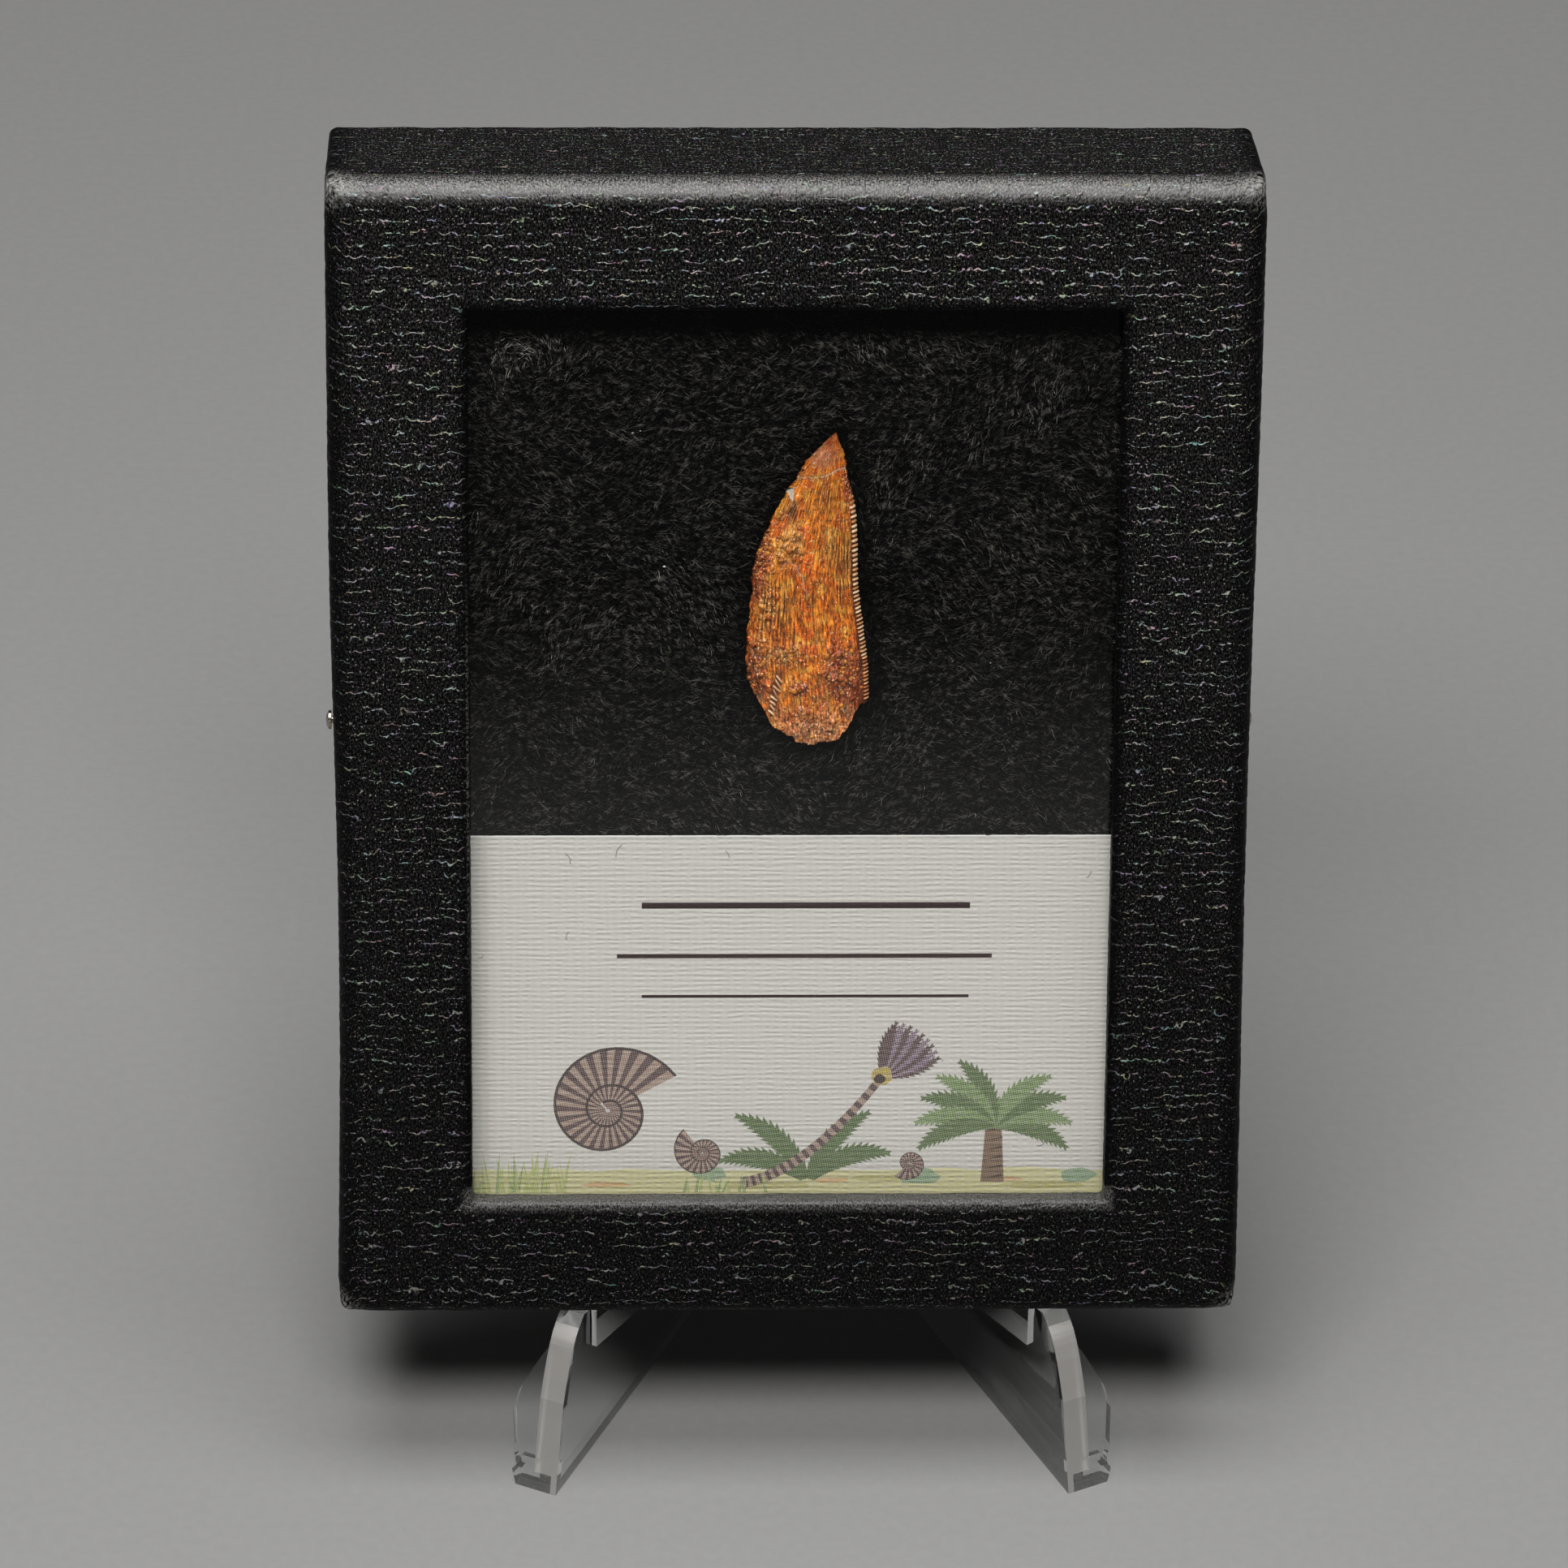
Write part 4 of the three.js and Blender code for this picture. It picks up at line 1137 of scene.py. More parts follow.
print("print:", len(shapes), "shapes")

# %% Cut the card along the print
sides = ((-1, CARD_FOOT), (1, CARD_FOOT), (1, CARD_TOP), (-1, CARD_TOP))
flat_points, flat_faces = [Vector((side * CARD_HALF, y)) for side, y in sides], [[0, 1, 2, 3]]
for tint, points in shapes:
    area = sum(a[0] * b[1] - b[0] * a[1] for a, b in zip(points, points[1:] + points[:1]))
    first = len(flat_points)
    loop = list(range(first, first + len(points)))
    flat_points += [Vector(p) for p in points]
    flat_faces.append(loop if area > 0 else loop[::-1])
cut_points, _, cut_faces, _, _, covered_by = delaunay_2d_cdt(flat_points, [], flat_faces, 1, 1e-5, True)

bm = bmesh.new()
ink_layer = bm.loops.layers.float_color.new("ink")
corners = [bm.verts.new((p.x, p.y, CARD_FRONT)) for p in cut_points]
for loop, owners in zip(cut_faces, covered_by):
    made = bm.faces.new([corners[i] for i in loop])
    top = max(owners) if owners else 0
    colour = INKS[shapes[top - 1][0]] if top else PAPER
    for part in made.loops:
        part[ink_layer] = (*colour[:3], DOTTED.get(shapes[top - 1][0], 1.0) if top else 0.0)
rim = [edge for edge in bm.edges if edge.is_boundary]
below = {
    vert: bm.verts.new((vert.co.x, vert.co.y, CARD_BACK)) for vert in corners if vert.is_boundary
}
for edge in rim:  # walls made one by one, as the extrude operator lists them in a changing order
    a, b = edge.verts
    bm.faces.new((a, b, below[b], below[a]))
bmesh.ops.contextual_create(bm, geom=[edge for edge in bm.edges if edge.is_boundary])
for made in bm.faces:
    if abs(made.calc_center_median().z - CARD_FRONT) > 1e-6:
        for part in made.loops:
            part[ink_layer] = (0.9, 0.89, 0.87, 0.0)
bmesh.ops.recalc_face_normals(bm, faces=bm.faces)
card = mesh_object("linen_card", np.zeros((0, 3)), [])
bm.to_mesh(card.data)
bm.free()
print("card:", len(card.data.polygons), "faces")

# %% [markdown]
# ## Linen and printing dots
#
# The emboss is a weave of fine threads, the ones across the card stronger than the ones up it,
# and each a little uneven. The print was made in dots, so inked places let the paper through in a
# fine slanted grid. Both are patterns in box millimetres.

# %% The card material
THREAD_PITCH, UPRIGHT_PITCH, DOT_PITCH = 0.52, 0.75, 0.3
linen, tree, shader = new_material("linen_card", Roughness=0.62)
place = box_place(tree)
uneven = cloud(tree, stretched(tree, place, (0.25, 1.4, 1)), detail=2)
x, y, _ = apart(tree, place)
bent = maths(tree, "MULTIPLY_ADD", uneven, 0.5, y)
threads = maths(tree, "SINE", maths(tree, "MULTIPLY", bent, 2 * math.pi / THREAD_PITCH))
upright = maths(tree, "MULTIPLY_ADD", cloud(tree, stretched(tree, place, (1.2, 0.3, 1))), 0.6, x)
upright = maths(tree, "SINE", maths(tree, "MULTIPLY", upright, 2 * math.pi / UPRIGHT_PITCH))
gaps = ramp(tree, cloud(tree, stretched(tree, place, (1.6, 0.7, 1))), 0.4, 0.62, 0.3, 1.0)
height = maths(tree, "MULTIPLY", maths(tree, "MULTIPLY", threads, gaps), 0.02)
height = maths(tree, "MULTIPLY_ADD", upright, 0.007, height)
slant = {"Vector": place, "Rotation": (0, 0, 0.6), "Scale": (1, 1, 1)}
dx, dy, _ = apart(tree, add(tree, "ShaderNodeMapping", slant).outputs[0])
dots = maths(tree, "MULTIPLY", *(
    maths(tree, "SINE", maths(tree, "MULTIPLY", d, 2 * math.pi / DOT_PITCH)) for d in (dx, dy)))
mottle = maths(tree, "MULTIPLY", cloud(tree, place, 1.4, 3), 0.8)
dots = ramp(tree, maths(tree, "ADD", dots, mottle), 0.15, 0.75, 0.0, 0.5)
dots = maths(tree, "MULTIPLY", dots, kept(tree, "ink", "Alpha"))
tone = blend(tree, dots, kept(tree, "ink", "Color"), PAPER)
# Painted shade in the grooves of the weave.
shaded = ramp(tree, maths(tree, "MULTIPLY_ADD", upright, 0.45, threads), -1.5, 1.5, 0.13, 0.0)
tone = blend(tree, shaded, tone, (0.45, 0.44, 0.42, 1), "MULTIPLY")
feed(shader, Base_Color=tone, Normal=bump(tree, height), Specular_IOR_Level=0.25)
finish_piece(card, linen, "card", "label_card", smooth=False)

# %% [markdown]
# ## Lint and dust
#
# A few hairs of lint have settled on the card, and pale specks lie on the plush.
# Each hair is a thin bent ribbon, each speck a small lump, so both stand clear of what they lie on.

# %% Hairs and specks
def hair(u, v, z, length, heading, curl, width):
    """A bent ribbon with its middle near (u, v), curling by the given angle along its length."""
    points, steps = [], 10
    x, y = u - length / 2 * math.cos(heading), v - length / 2 * math.sin(heading)
    for i in range(steps + 1):
        way = heading + curl * (i / steps - 0.5)
        x, y = x + length / steps * math.cos(way), y + length / steps * math.sin(way)
        side = (-math.sin(way) * width / 2, math.cos(way) * width / 2)
        points += [(x - side[0], y - side[1], z), (x + side[0], y + side[1], z)]
    faces = [(2 * i, 2 * i + 2, 2 * i + 3, 2 * i + 1) for i in range(steps)]
    return points, faces


def joined(name, parts):
    points, faces = [], []
    for some_points, some_faces in parts:
        faces += [tuple(i + len(points) for i in face) for face in some_faces]
        points += some_points
    return mesh_object(name, points, faces)


def speck(u, v, z, radius):
    tips = [(u + radius, v, z), (u, v + radius * 0.7, z), (u - radius, v, z), (u, v - radius * 0.7, z),
            (u, v, z + radius * 0.6), (u, v, z - radius * 0.6)]
    return tips, [(i, (i + 1) % 4, 4) for i in range(4)] + [((i + 1) % 4, i, 5) for i in range(4)]


grey_lint, *_ = new_material("grey_lint", Roughness=0.7, Base_Color=(0.16, 0.15, 0.16, 1))
pale_dust, *_ = new_material("pale_dust", Roughness=0.6, Base_Color=(0.75, 0.73, 0.68, 1))
LINT_Z = CARD_FRONT + 0.03
lint = joined("card_lint", [hair(u, v, LINT_Z, *rest) for u, v, *rest in (
    (-20.6, -10.6, 1.2, 1.9, 1.6, 0.06), (-15.8, -9.9, 1.4, 1.2, -1.1, 0.06),
    (-5.8, -10.2, 0.8, 2.0, 0.8, 0.05), (23.7, -38.9, 1.1, 0.6, 1.9, 0.06),
    (-20.5, -18.2, 0.9, 1.4, -1.4, 0.05), (-28.6, -20.1, 0.7, 0.3, 2.2, 0.05),
    (14.2, -30.6, 0.6, 2.4, 1.2, 0.05), (27.6, -12.2, 0.8, 1.0, 1.0, 0.05))])
finish_piece(lint, grey_lint, "card", smooth=False)
dust = joined("plush_dust", [speck(*place) for place in (
    (-11.7, 17.7, PAD_FRONT + 0.45, 0.16), (-14.6, 30.4, PAD_FRONT + 0.4, 0.11),
    (-13.9, 30.6, PAD_FRONT + 0.4, 0.09), (18.2, 8.4, PAD_FRONT + 0.4, 0.08))])
finish_piece(dust, pale_dust, "plush", smooth=False)

# %% [markdown]
# ## The tooth
#
# A tooth of a meat-eating dinosaur is a flattened blade: enamel with fine wrinkles running along
# it, a saw edge behind, and a broken base. Sand of its bed is still cemented to it. The blade is
# a grid wrapped round its lens-shaped section, so columns run along the tooth just as the
# wrinkles do, and a relief in millimetres moves each point: lumps, cracks, wrinkles, flakes.

# %% Places of lumps, cracks and stains on the tooth
LUMPS = [  # x, y, radius, height
    (-4.5, 18.6, 0.75, 0.26), (-4.1, 20.1, 0.6, 0.2), (-4.9, 16.8, 0.6, 0.24), (-3.5, 21.6, 0.5, 0.2),
    (-4.8, 15.0, 0.45, 0.2), (-4.2, 13.6, 0.4, 0.24), (-3.6, 14.7, 0.35, 0.24), (-4.0, 12.5, 0.35, 0.18),
    (-1.5, 19.3, 0.55, 0.34), (-2.2, 20.4, 0.5, 0.24), (-0.9, 18.8, 0.4, 0.24), (-2.7, 18.3, 0.5, 0.22),
    (-2.9, 22.3, 0.35, 0.2), (-1.7, 23.0, 0.4, 0.16), (-3.3, 17.1, 0.45, 0.2), (-5.0, 10.4, 0.5, 0.26),
    (-4.9, 8.6, 0.55, 0.32), (-4.5, 7.0, 0.6, 0.32), (-3.6, 6.1, 0.45, 0.22), (-5.3, 9.4, 0.4, 0.2),
    (-2.7, 8.8, 0.35, 0.26), (-1.9, 9.3, 0.25, 0.22), (-1.2, 9.7, 0.25, 0.2), (-0.5, 9.4, 0.2, 0.16),
    (-1.6, 7.9, 0.3, 0.2), (1.9, 9.3, 0.5, 0.34), (2.9, 9.1, 0.45, 0.3), (1.3, 7.2, 0.5, 0.34),
    (2.4, 6.6, 0.55, 0.38), (3.5, 7.0, 0.5, 0.34), (3.2, 8.2, 0.4, 0.28), (4.3, 6.2, 0.5, 0.28),
    (4.0, 4.9, 0.5, 0.22), (-1.2, 5.6, 0.45, 0.36), (-0.4, 5.8, 0.4, 0.28), (-1.2, 2.6, 0.3, 0.28),
    (0.2, 1.9, 0.3, 0.22), (2.3, 2.6, 0.35, 0.22), (3.9, 24.2, 0.4, 0.16), (3.6, 25.3, 0.35, 0.14),
]
CRACKS = [  # depth, half width, points
    (0.09, 0.055, [(-0.9, 26.0), (-0.1, 26.0), (0.6, 25.95), (1.11, 26.02), (1.6, 26.2),
                   (2.04, 26.43), (2.7, 26.8), (3.42, 26.99)]),
    (0.1, 0.06, [(0.7, 22.05), (1.2, 21.8), (1.9, 21.85), (2.6, 21.7), (3.2, 21.85), (3.7, 22.0)]),
    (0.06, 0.05, [(-2.5, 17.2), (-2.2, 17.75), (-1.6, 17.9), (-1.1, 17.5), (-0.95, 16.9),
                  (-0.6, 16.5), (-0.45, 15.9), (-0.55, 15.4), (-0.2, 15.1), (-0.1, 14.5)]),
]
RED = [  # x, y, reach across, reach along, strength; and so for all the lists of spots below
    (-3.0, 5.3, 0.6, 1.7, 0.8), (-4.6, 18.8, 1.2, 3.6, 1.0), (-5.0, 15.5, 0.8, 2.2, 0.8),
    (3.5, 25.6, 0.8, 2.6, 0.75), (3.3, 6.9, 2.4, 3.4, 0.95), (-0.8, 5.6, 1.1, 0.9, 0.9),
    (-4.8, 8.0, 0.9, 2.8, 0.8), (1.8, 28.6, 1.6, 2.2, 0.45), (4.4, 4.6, 1.4, 1.5, 0.8),
    (3.7, 3.4, 1.1, 1.2, 0.65), (-4.4, 5.8, 0.9, 1.6, 0.8), (0.4, 2.2, 1.0, 0.8, 0.5),
    (-2.0, 18.0, 1.2, 2.0, 0.3),
]
OCHRE = [
    (-1.7, 19.6, 1.5, 2.0, 0.95), (-4.1, 13.4, 1.0, 1.5, 0.8), (1.9, 19.6, 1.0, 3.0, 0.7),
    (3.6, 18.6, 0.6, 3.4, 0.8), (-2.4, 8.9, 1.6, 1.0, 0.7), (3.1, 15.6, 0.7, 2.4, 0.5),
]
PINK = [
    (-4.2, 5.0, 0.8, 1.6, 0.6), (0.2, 1.2, 3.4, 1.6, 0.8), (3.4, 3.2, 1.4, 1.4, 0.3),
    (1.4, 28.0, 1.6, 1.8, 0.75), (1.0, 11.0, 0.9, 3.0, 0.4),
]
AMBER = [(-2.75, 23.1, 0.5, 1.1, 1.0), (-2.15, 24.0, 0.3, 0.6, 0.9), (-3.6, 16.4, 0.9, 0.8, 0.5)]
UMBER = [
    (-1.5, 22.9, 0.55, 1.5, 0.9), (-1.0, 20.0, 1.0, 0.7, 0.7), (-0.2, 22.8, 0.6, 0.8, 0.6),
    (1.0, 4.75, 0.9, 0.22, 0.9), (-3.4, 19.0, 0.5, 0.4, 0.6), (2.7, 8.6, 0.8, 0.4, 0.8),
    (1.6, 6.9, 0.7, 0.3, 0.7), (3.1, 6.5, 0.6, 0.3, 0.7),
]
GRAINS = [
    (-4.2, 19.0, 1.1, 3.6, 1.0), (-2.0, 19.2, 1.4, 1.8, 0.7), (-3.9, 14.0, 0.9, 2.0, 0.8),
    (-4.6, 8.4, 1.1, 2.8, 0.9), (-1.9, 8.9, 1.9, 1.1, 0.9), (3.2, 7.4, 1.9, 2.6, 1.0),
    (-1.0, 26.3, 0.4, 0.6, 0.6), (0.1, 28.0, 0.5, 0.8, 0.45), (0.3, 2.0, 2.8, 1.4, 0.6),
    (3.7, 25.3, 0.6, 2.6, 0.9), (-2.6, 22.6, 0.9, 1.2, 0.5), (-0.9, 5.6, 1.0, 0.8, 0.8),
]
CHIP_CORNERS, CHIP_BORDER = [(-1.35, 25.15), (-2.15, 24.85), (-1.6, 23.75), (-1.4, 23.8)], 0.08
FURROWS = [
    (-2.9, 11.8, 2.6, 4.6, 1.0), (-4.2, 7.6, 1.2, 2.6, 0.4), (3.0, 17.8, 1.1, 4.4, 0.9),
    (1.5, 24.0, 1.7, 2.2, 0.6), (-1.7, 22.6, 0.8, 1.4, 0.8), (0.3, 4.6, 3.4, 2.2, 0.5),
    (0.8, 13.0, 2.2, 4.0, 0.4), (1.3, 20.0, 1.2, 2.0, 0.5),
]
OLD_SAW = [(-3.2, 3.7), (-3.05, 5.2), (-2.6, 7.0)]
print("tooth marks:", len(LUMPS), "lumps,", len(CRACKS), "cracks")

# %% How strongly each mark is felt at a point
def spots(places, x, y):
    """The strongest of some soft spots at each point."""
    total = np.zeros(len(x))
    for cx, cy, rx, ry, strength in places:
        total = np.maximum(total, strength * np.exp(-((x - cx) / rx) ** 2 - ((y - cy) / ry) ** 2))
    return total


def chip(x, y):
    """1 inside the white chip on the front edge, 0 outside it, with a narrow border."""
    inner = np.full(len(x), np.inf)
    for (ax, ay), (bx, by) in zip(CHIP_CORNERS, CHIP_CORNERS[1:] + CHIP_CORNERS[:1]):
        turn = (bx - ax) * (y - ay) - (by - ay) * (x - ax)
        inner = np.minimum(inner, turn / math.hypot(bx - ax, by - ay))
    return np.clip(inner / CHIP_BORDER, 0, 1)


print("furrowed spots:", len(FURROWS))

# %% Wrap the grid round the blade
COLUMNS, ROWS, BASE_ROWS = 196, 244, 8
across = np.sin(np.linspace(-math.pi / 2, math.pi / 2, COLUMNS))
old = np.sin(np.linspace(-math.pi / 2, math.pi / 2, len(foot)))
foot_at = np.interp(across, old, foot)
tooth_x, tooth_y, tooth_xi, tooth_side = [], [], [], []
columns = list(range(COLUMNS)) + list(range(COLUMNS - 2, 0, -1))
sides = np.array([1] * COLUMNS + [-1] * (COLUMNS - 2))
for t in np.linspace(0, 1, ROWS):
    y = foot_at[columns] + (TOOTH_HEIGHT - foot_at[columns]) * t
    left, right = front_edge(y), hind_edge(y)
    tooth_x.append(left + (across[columns] + 1) / 2 * (right - left))
    tooth_y.append(y)
    tooth_xi.append(across[columns])
    tooth_side.append(sides)
x, y, xi, side = (np.concatenate(part) for part in (tooth_x, tooth_y, tooth_xi, tooth_side))


def lens(xi, y, side):
    bulge = np.where(side > 0, FRONT_BULGE, -BACK_BULGE)
    swelling = np.sqrt(np.clip(1 - (y / (TOOTH_HEIGHT + 1)) ** 2, 0, 1))
    return bulge * swelling * np.clip(1 - xi**2, 0, 1) ** BULGE_POWER


z = lens(xi, y, side)
SIGHT = 0.356
sx, sy = x, y - SIGHT * np.maximum(z, 0)
print("tooth grid:", len(x), "points")

# %% Flat facets of the broken base
FACETS, facet_luck = 60, random.Random(11)


def facets(x, y):
    """The relief of a surface broken into tilted facets, and a tone for each facet."""
    seeds = [(facet_luck.uniform(-5, 5.4), facet_luck.uniform(-0.5, 6.2)) for _ in range(FACETS)]
    tilts = [(facet_luck.uniform(-0.45, 0.45), facet_luck.uniform(-0.2, 0.2)) for _ in range(FACETS)]
    levels = [(facet_luck.uniform(-0.14, 0.1), facet_luck.random()) for _ in range(FACETS)]
    away = np.array([np.hypot(x - cx, 0.5 * (y - cy)) for cx, cy in seeds])
    own = away.argmin(0)
    (cx, cy), (a, b), (level, tone) = (np.array(part)[own].T for part in (seeds, tilts, levels))
    return level + a * (x - cx) + b * (y - cy), tone


print("facets:", FACETS)

# %% Work the relief into the blade
def drift(scale_x, scale_y, seed, at=None):
    a, b = (x, y) if at is None else at
    return np.array([noise.noise((p * scale_x, q * scale_y, seed)) for p, q in zip(a, b)])


RIDGE_PITCH = 0.37
fan = xi * 5.4
wander = drift(0.5, 0.3, 31) * 0.35
fine = drift(4.2, 0.30, 3, (fan + wander, y))
finer = drift(8.5, 0.45, 9, (fan + wander, y))
wrinkles = -0.08 * np.clip(1 - 3.2 * np.abs(fine), 0, 1) ** 1.5
wrinkles = wrinkles - 0.04 * np.clip(1 - 3 * np.abs(finer), 0, 1)
furrows = spots(FURROWS, sx, sy)
strength = (0.3 + 0.9 * furrows) * np.clip(drift(0.3, 0.16, 17) * 1.6 + 0.8, 0.3, 1)
relief = wrinkles * strength * np.clip((y - 3) / 3, 0, 1)
bending = 7 * drift(0.5, 0.10, 23, (fan, y))
ridge = np.sin(2 * math.pi * fan / RIDGE_PITCH + bending + 2 * drift(1.4, 0.3, 29, (fan, y)))
ridge *= np.clip(0.95 + 1.3 * drift(1.6, 0.22, 37, (fan, y)), 0.3, 1)
furrowed = furrows * (side > 0)
relief += 0.055 * ridge * furrowed
relief += 0.1 * drift(0.7, 0.35, 5) + 0.07 * drift(1.9, 1.3, 6)
warp_x, warp_y = sx + 0.4 * drift(2.1, 2.1, 41), sy + 0.4 * drift(2.1, 2.1, 57)
for cx, cy, radius, height in LUMPS:
    near = np.hypot(warp_x - cx, warp_y - cy) / radius
    relief += 1.25 * height * np.clip(1 - near**2, 0, 1) ** 1.3
for depth, half, path in CRACKS:
    relief -= depth * np.exp(-((line_gap(path, sx, sy) / half) ** 2))
broken = np.clip((4.2 + 1.6 * drift(0.7, 0.7, 63) - sy) / 0.9, 0, 1)
rough = np.clip(spots(GRAINS, sx, sy) + 0.3 * broken, 0, 1)
relief += rough * (0.42 * np.abs(drift(2.4, 2.4, 71)) + 0.2 * drift(5.6, 5.6, 77))
facet_level, facet_tone = facets(sx, sy)
relief += broken * facet_level
relief -= 0.05 * chip(sx, sy)
edge_fade = np.clip((1 - np.abs(xi)) / 0.05, 0, 1)
z += np.where(side > 0, 1, -0.6) * relief * edge_fade
ragged = np.abs(xi) ** 10 * (0.15 * drift(1.2, 1.1, 91) + 0.14 * drift(1.2, 3.1, 93) - 0.09)
x = x + np.sign(xi) * ragged
print("relief from", round(float(relief.min()), 2), "to", round(float(relief.max()), 2), "mm")

# %% Close the blade at its tip and base
ring_size = len(columns)
points = np.column_stack([x, y, z])
tooth_faces = grid_faces(ROWS, ring_size, ring=True)
crown = points[-ring_size:].mean(0) + (0, 0.12, 0)
extra = [crown]
top_start, crown_index = (ROWS - 1) * ring_size, len(points)
tooth_faces += [(top_start + i, top_start + (i + 1) % ring_size, crown_index) for i in range(ring_size)]
rows_of_base = [list(range(COLUMNS))]
for k in range(1, BASE_ROWS):
    row = [0]
    for c in range(1, COLUMNS - 1):
        share = k / BASE_ROWS
        spot = points[c] * (1 - share) + points[ring_size - c] * share
        hollow = math.sin(math.pi * share) * (0.25 + 0.3 * noise.noise((1.8 * spot[0], 2.5 * share, 5)))
        extra.append(spot + (0, hollow, 0))
        row.append(len(points) + len(extra) - 1)
    rows_of_base.append(row + [COLUMNS - 1])
rows_of_base.append([0] + [ring_size - c for c in range(1, COLUMNS - 1)] + [COLUMNS - 1])
for upper, lower in zip(rows_of_base, rows_of_base[1:]):
    for c in range(COLUMNS - 1):
        corners = [upper[c], lower[c], lower[c + 1], upper[c + 1]]
        tooth_faces.append(tuple(dict.fromkeys(corners)))
tooth_faces = [f for f in tooth_faces if len(f) > 2]
points = np.concatenate([points, np.array(extra)])
TOOTH_AT = np.array((TOOTH_SHIFT, TOOTH_LIFT, TOOTH_PLANE))
tooth = mesh_object("tooth_blade", points + TOOTH_AT, tooth_faces)
print("blade:", len(tooth_faces), "faces")

# %% Keep the tooth's marks as fields
px, py = points[:, 0], points[:, 1] - SIGHT * np.maximum(points[:, 2], 0)
n_extra = len(points) - len(x)


def with_ends(values, at_ends):
    """Values of the wrapped grid, with one value for all the points that close tip and base."""
    return np.append(values, np.full(n_extra, at_ends))


def along_line(path, reach, drop=0.0):
    return np.exp(-((line_gap(path, px, py + drop) / reach) ** 2))


hind = with_ends(np.clip((xi - 0.84) / 0.05, 0, 1), 0.0)
saw_band = hind * np.clip((24.0 - points[:, 1]) / 1.5, 0, 1)
field(tooth, "red", np.maximum(spots(RED, px, py), 0.95 * saw_band))
for name, places in (
    ("ochre", OCHRE), ("pink", PINK), ("amber", AMBER), ("umber", UMBER), ("furrow", FURROWS),
):
    field(tooth, name, spots(places, px, py))
first_crack, second_crack, loop_line = (path for _, _, path in CRACKS)
pale = np.maximum(0.9 * along_line(first_crack[3:], 0.055), 0.35 * along_line(first_crack[:4], 0.05))
pale = np.maximum(pale, 0.34 * along_line(loop_line, 0.06))
field(tooth, "pale", np.clip(np.maximum(pale, 1.5 * chip(px, py)), 0, 1))
# Dark marks: painted shade just below the first crack and round the saw chisels, and the dark second crack
# and old saw patch.
dark = np.maximum(0.8 * along_line(first_crack[:5], 0.06, 0.1), 0.85 * along_line(second_crack, 0.055))
old_patch = np.clip(1.4 - line_gap(OLD_SAW, px, py) / 0.45, 0, 1)
field(tooth, "dark", np.maximum(dark, 0.8 * np.maximum(old_patch, saw_band * (points[:, 1] < 23))))
for name, values, at_ends in (
    ("ridge", ridge * furrowed, 0.0), ("facet", facet_tone, 0.0),
    ("broken", broken, 1.0), ("crust", rough, 1.0),
):
    field(tooth, name, with_ends(values, at_ends))
spread = np.append(fan, points[len(x):, 0])
field(tooth, "fan", np.column_stack([spread, points[:, 1], points[:, 2]]), "FLOAT_VECTOR")
front = with_ends((side > 0) & (np.abs(xi) < 0.97), 0.0)
field(tooth, "grainy", spots(GRAINS, px, py) ** 1.5 * front)
print("fields:", ", ".join(sorted(a.name for a in tooth.data.attributes if a.name[0] != ".")))

# %% [markdown]
# ## Sand and saw teeth
#
# Two things repeat on the tooth. Grains of sand are strewn where the grain field is strong, each
# a lumpy ball of its own size. The saw edge is a row of small chisels, evenly spaced along the
# hind edge and nearly square to it, in three stretches that get finer towards the base. A fourth
# row shows as a slanting patch on the face, near the base. Both are geometry trees on a plain
# base: the blade itself, and a line.

# %% A tree that strews grains
strew, given, result = geometry_tree(
    "strewn_grains",
    {
        "Grains per mm2": ("Float", 3.0), "Least": ("Float", 0.06), "Most": ("Float", 0.24),
        "Seed": ("Int", 4), "Material": ("Material", None),
    },
)
tree = strew
spots_of_sand = strewn_points(tree, given, "grainy", "Grains per mm2")
ball = add(tree, "GeometryNodeMeshIcoSphere", {"Radius": 1.0, "Subdivisions": 2}).outputs[0]
luck = maths(tree, "POWER", chance(tree, 0.0, 1.0, 31), 2.5)
spread = maths(tree, "SUBTRACT", given["Most"], given["Least"])
size = maths(tree, "MULTIPLY_ADD", luck, spread, given["Least"])
depth = maths(tree, "MULTIPLY", size, chance(tree, 0.7, 1.3, 32))
flat = together(tree, size, depth, maths(tree, "MULTIPLY", size, 0.75))
TURNS = ((-0.6, 0.6, 33), (-0.6, 0.6, 34), (0.0, 6.2, 35))
spin = together(tree, *(chance(tree, *turn) for turn in TURNS))
balls = toned_copies(tree, spots_of_sand, ball, spin, flat, 36)
position = add(tree, "GeometryNodeInputPosition").outputs[0]
shake = vectors(tree, "SUBTRACT", cloud(tree, position, 4.5, 1, output=1), (0.5, 0.5, 0.5))
shake = stretched(tree, shake, (0.16, 0.16, 0.12))
sunk = vectors(tree, "ADD", shake, (0, 0, -0.05))
paint(tree, shifted(tree, balls, sunk), given, result)

# %% A tree that sets chisels along a line
saw, given, result = geometry_tree(
    "saw_teeth",
    {
        "Pitch": ("Float", 0.36), "Length": ("Float", 0.84), "Width": ("Float", 0.19),
        "Thickness": ("Float", 1.35), "Slant": ("Float", 0.12), "Waver": ("Float", 0.05),
        "Material": ("Material", None),
    },
)
tree = saw
line = add(tree, "GeometryNodeMeshToCurve", {"Mesh": given["Geometry"]}).outputs[0]
stops = add(tree, "GeometryNodeCurveToPoints", {"Curve": line, "Length": given["Pitch"]}, mode="LENGTH")
cube = add(tree, "GeometryNodeMeshCube", {"Size": (1, 1, 1)}).outputs[0]
cx, cy, cz = apart(tree, add(tree, "GeometryNodeInputPosition").outputs[0])
thinned = maths(tree, "MULTIPLY", cz, ramp(tree, cx, -0.5, 0.5, 1.0, 0.35))
wedge = add(tree, "GeometryNodeSetPosition", {
    "Geometry": cube, "Position": together(tree, cx, cy, thinned)}).outputs[0]
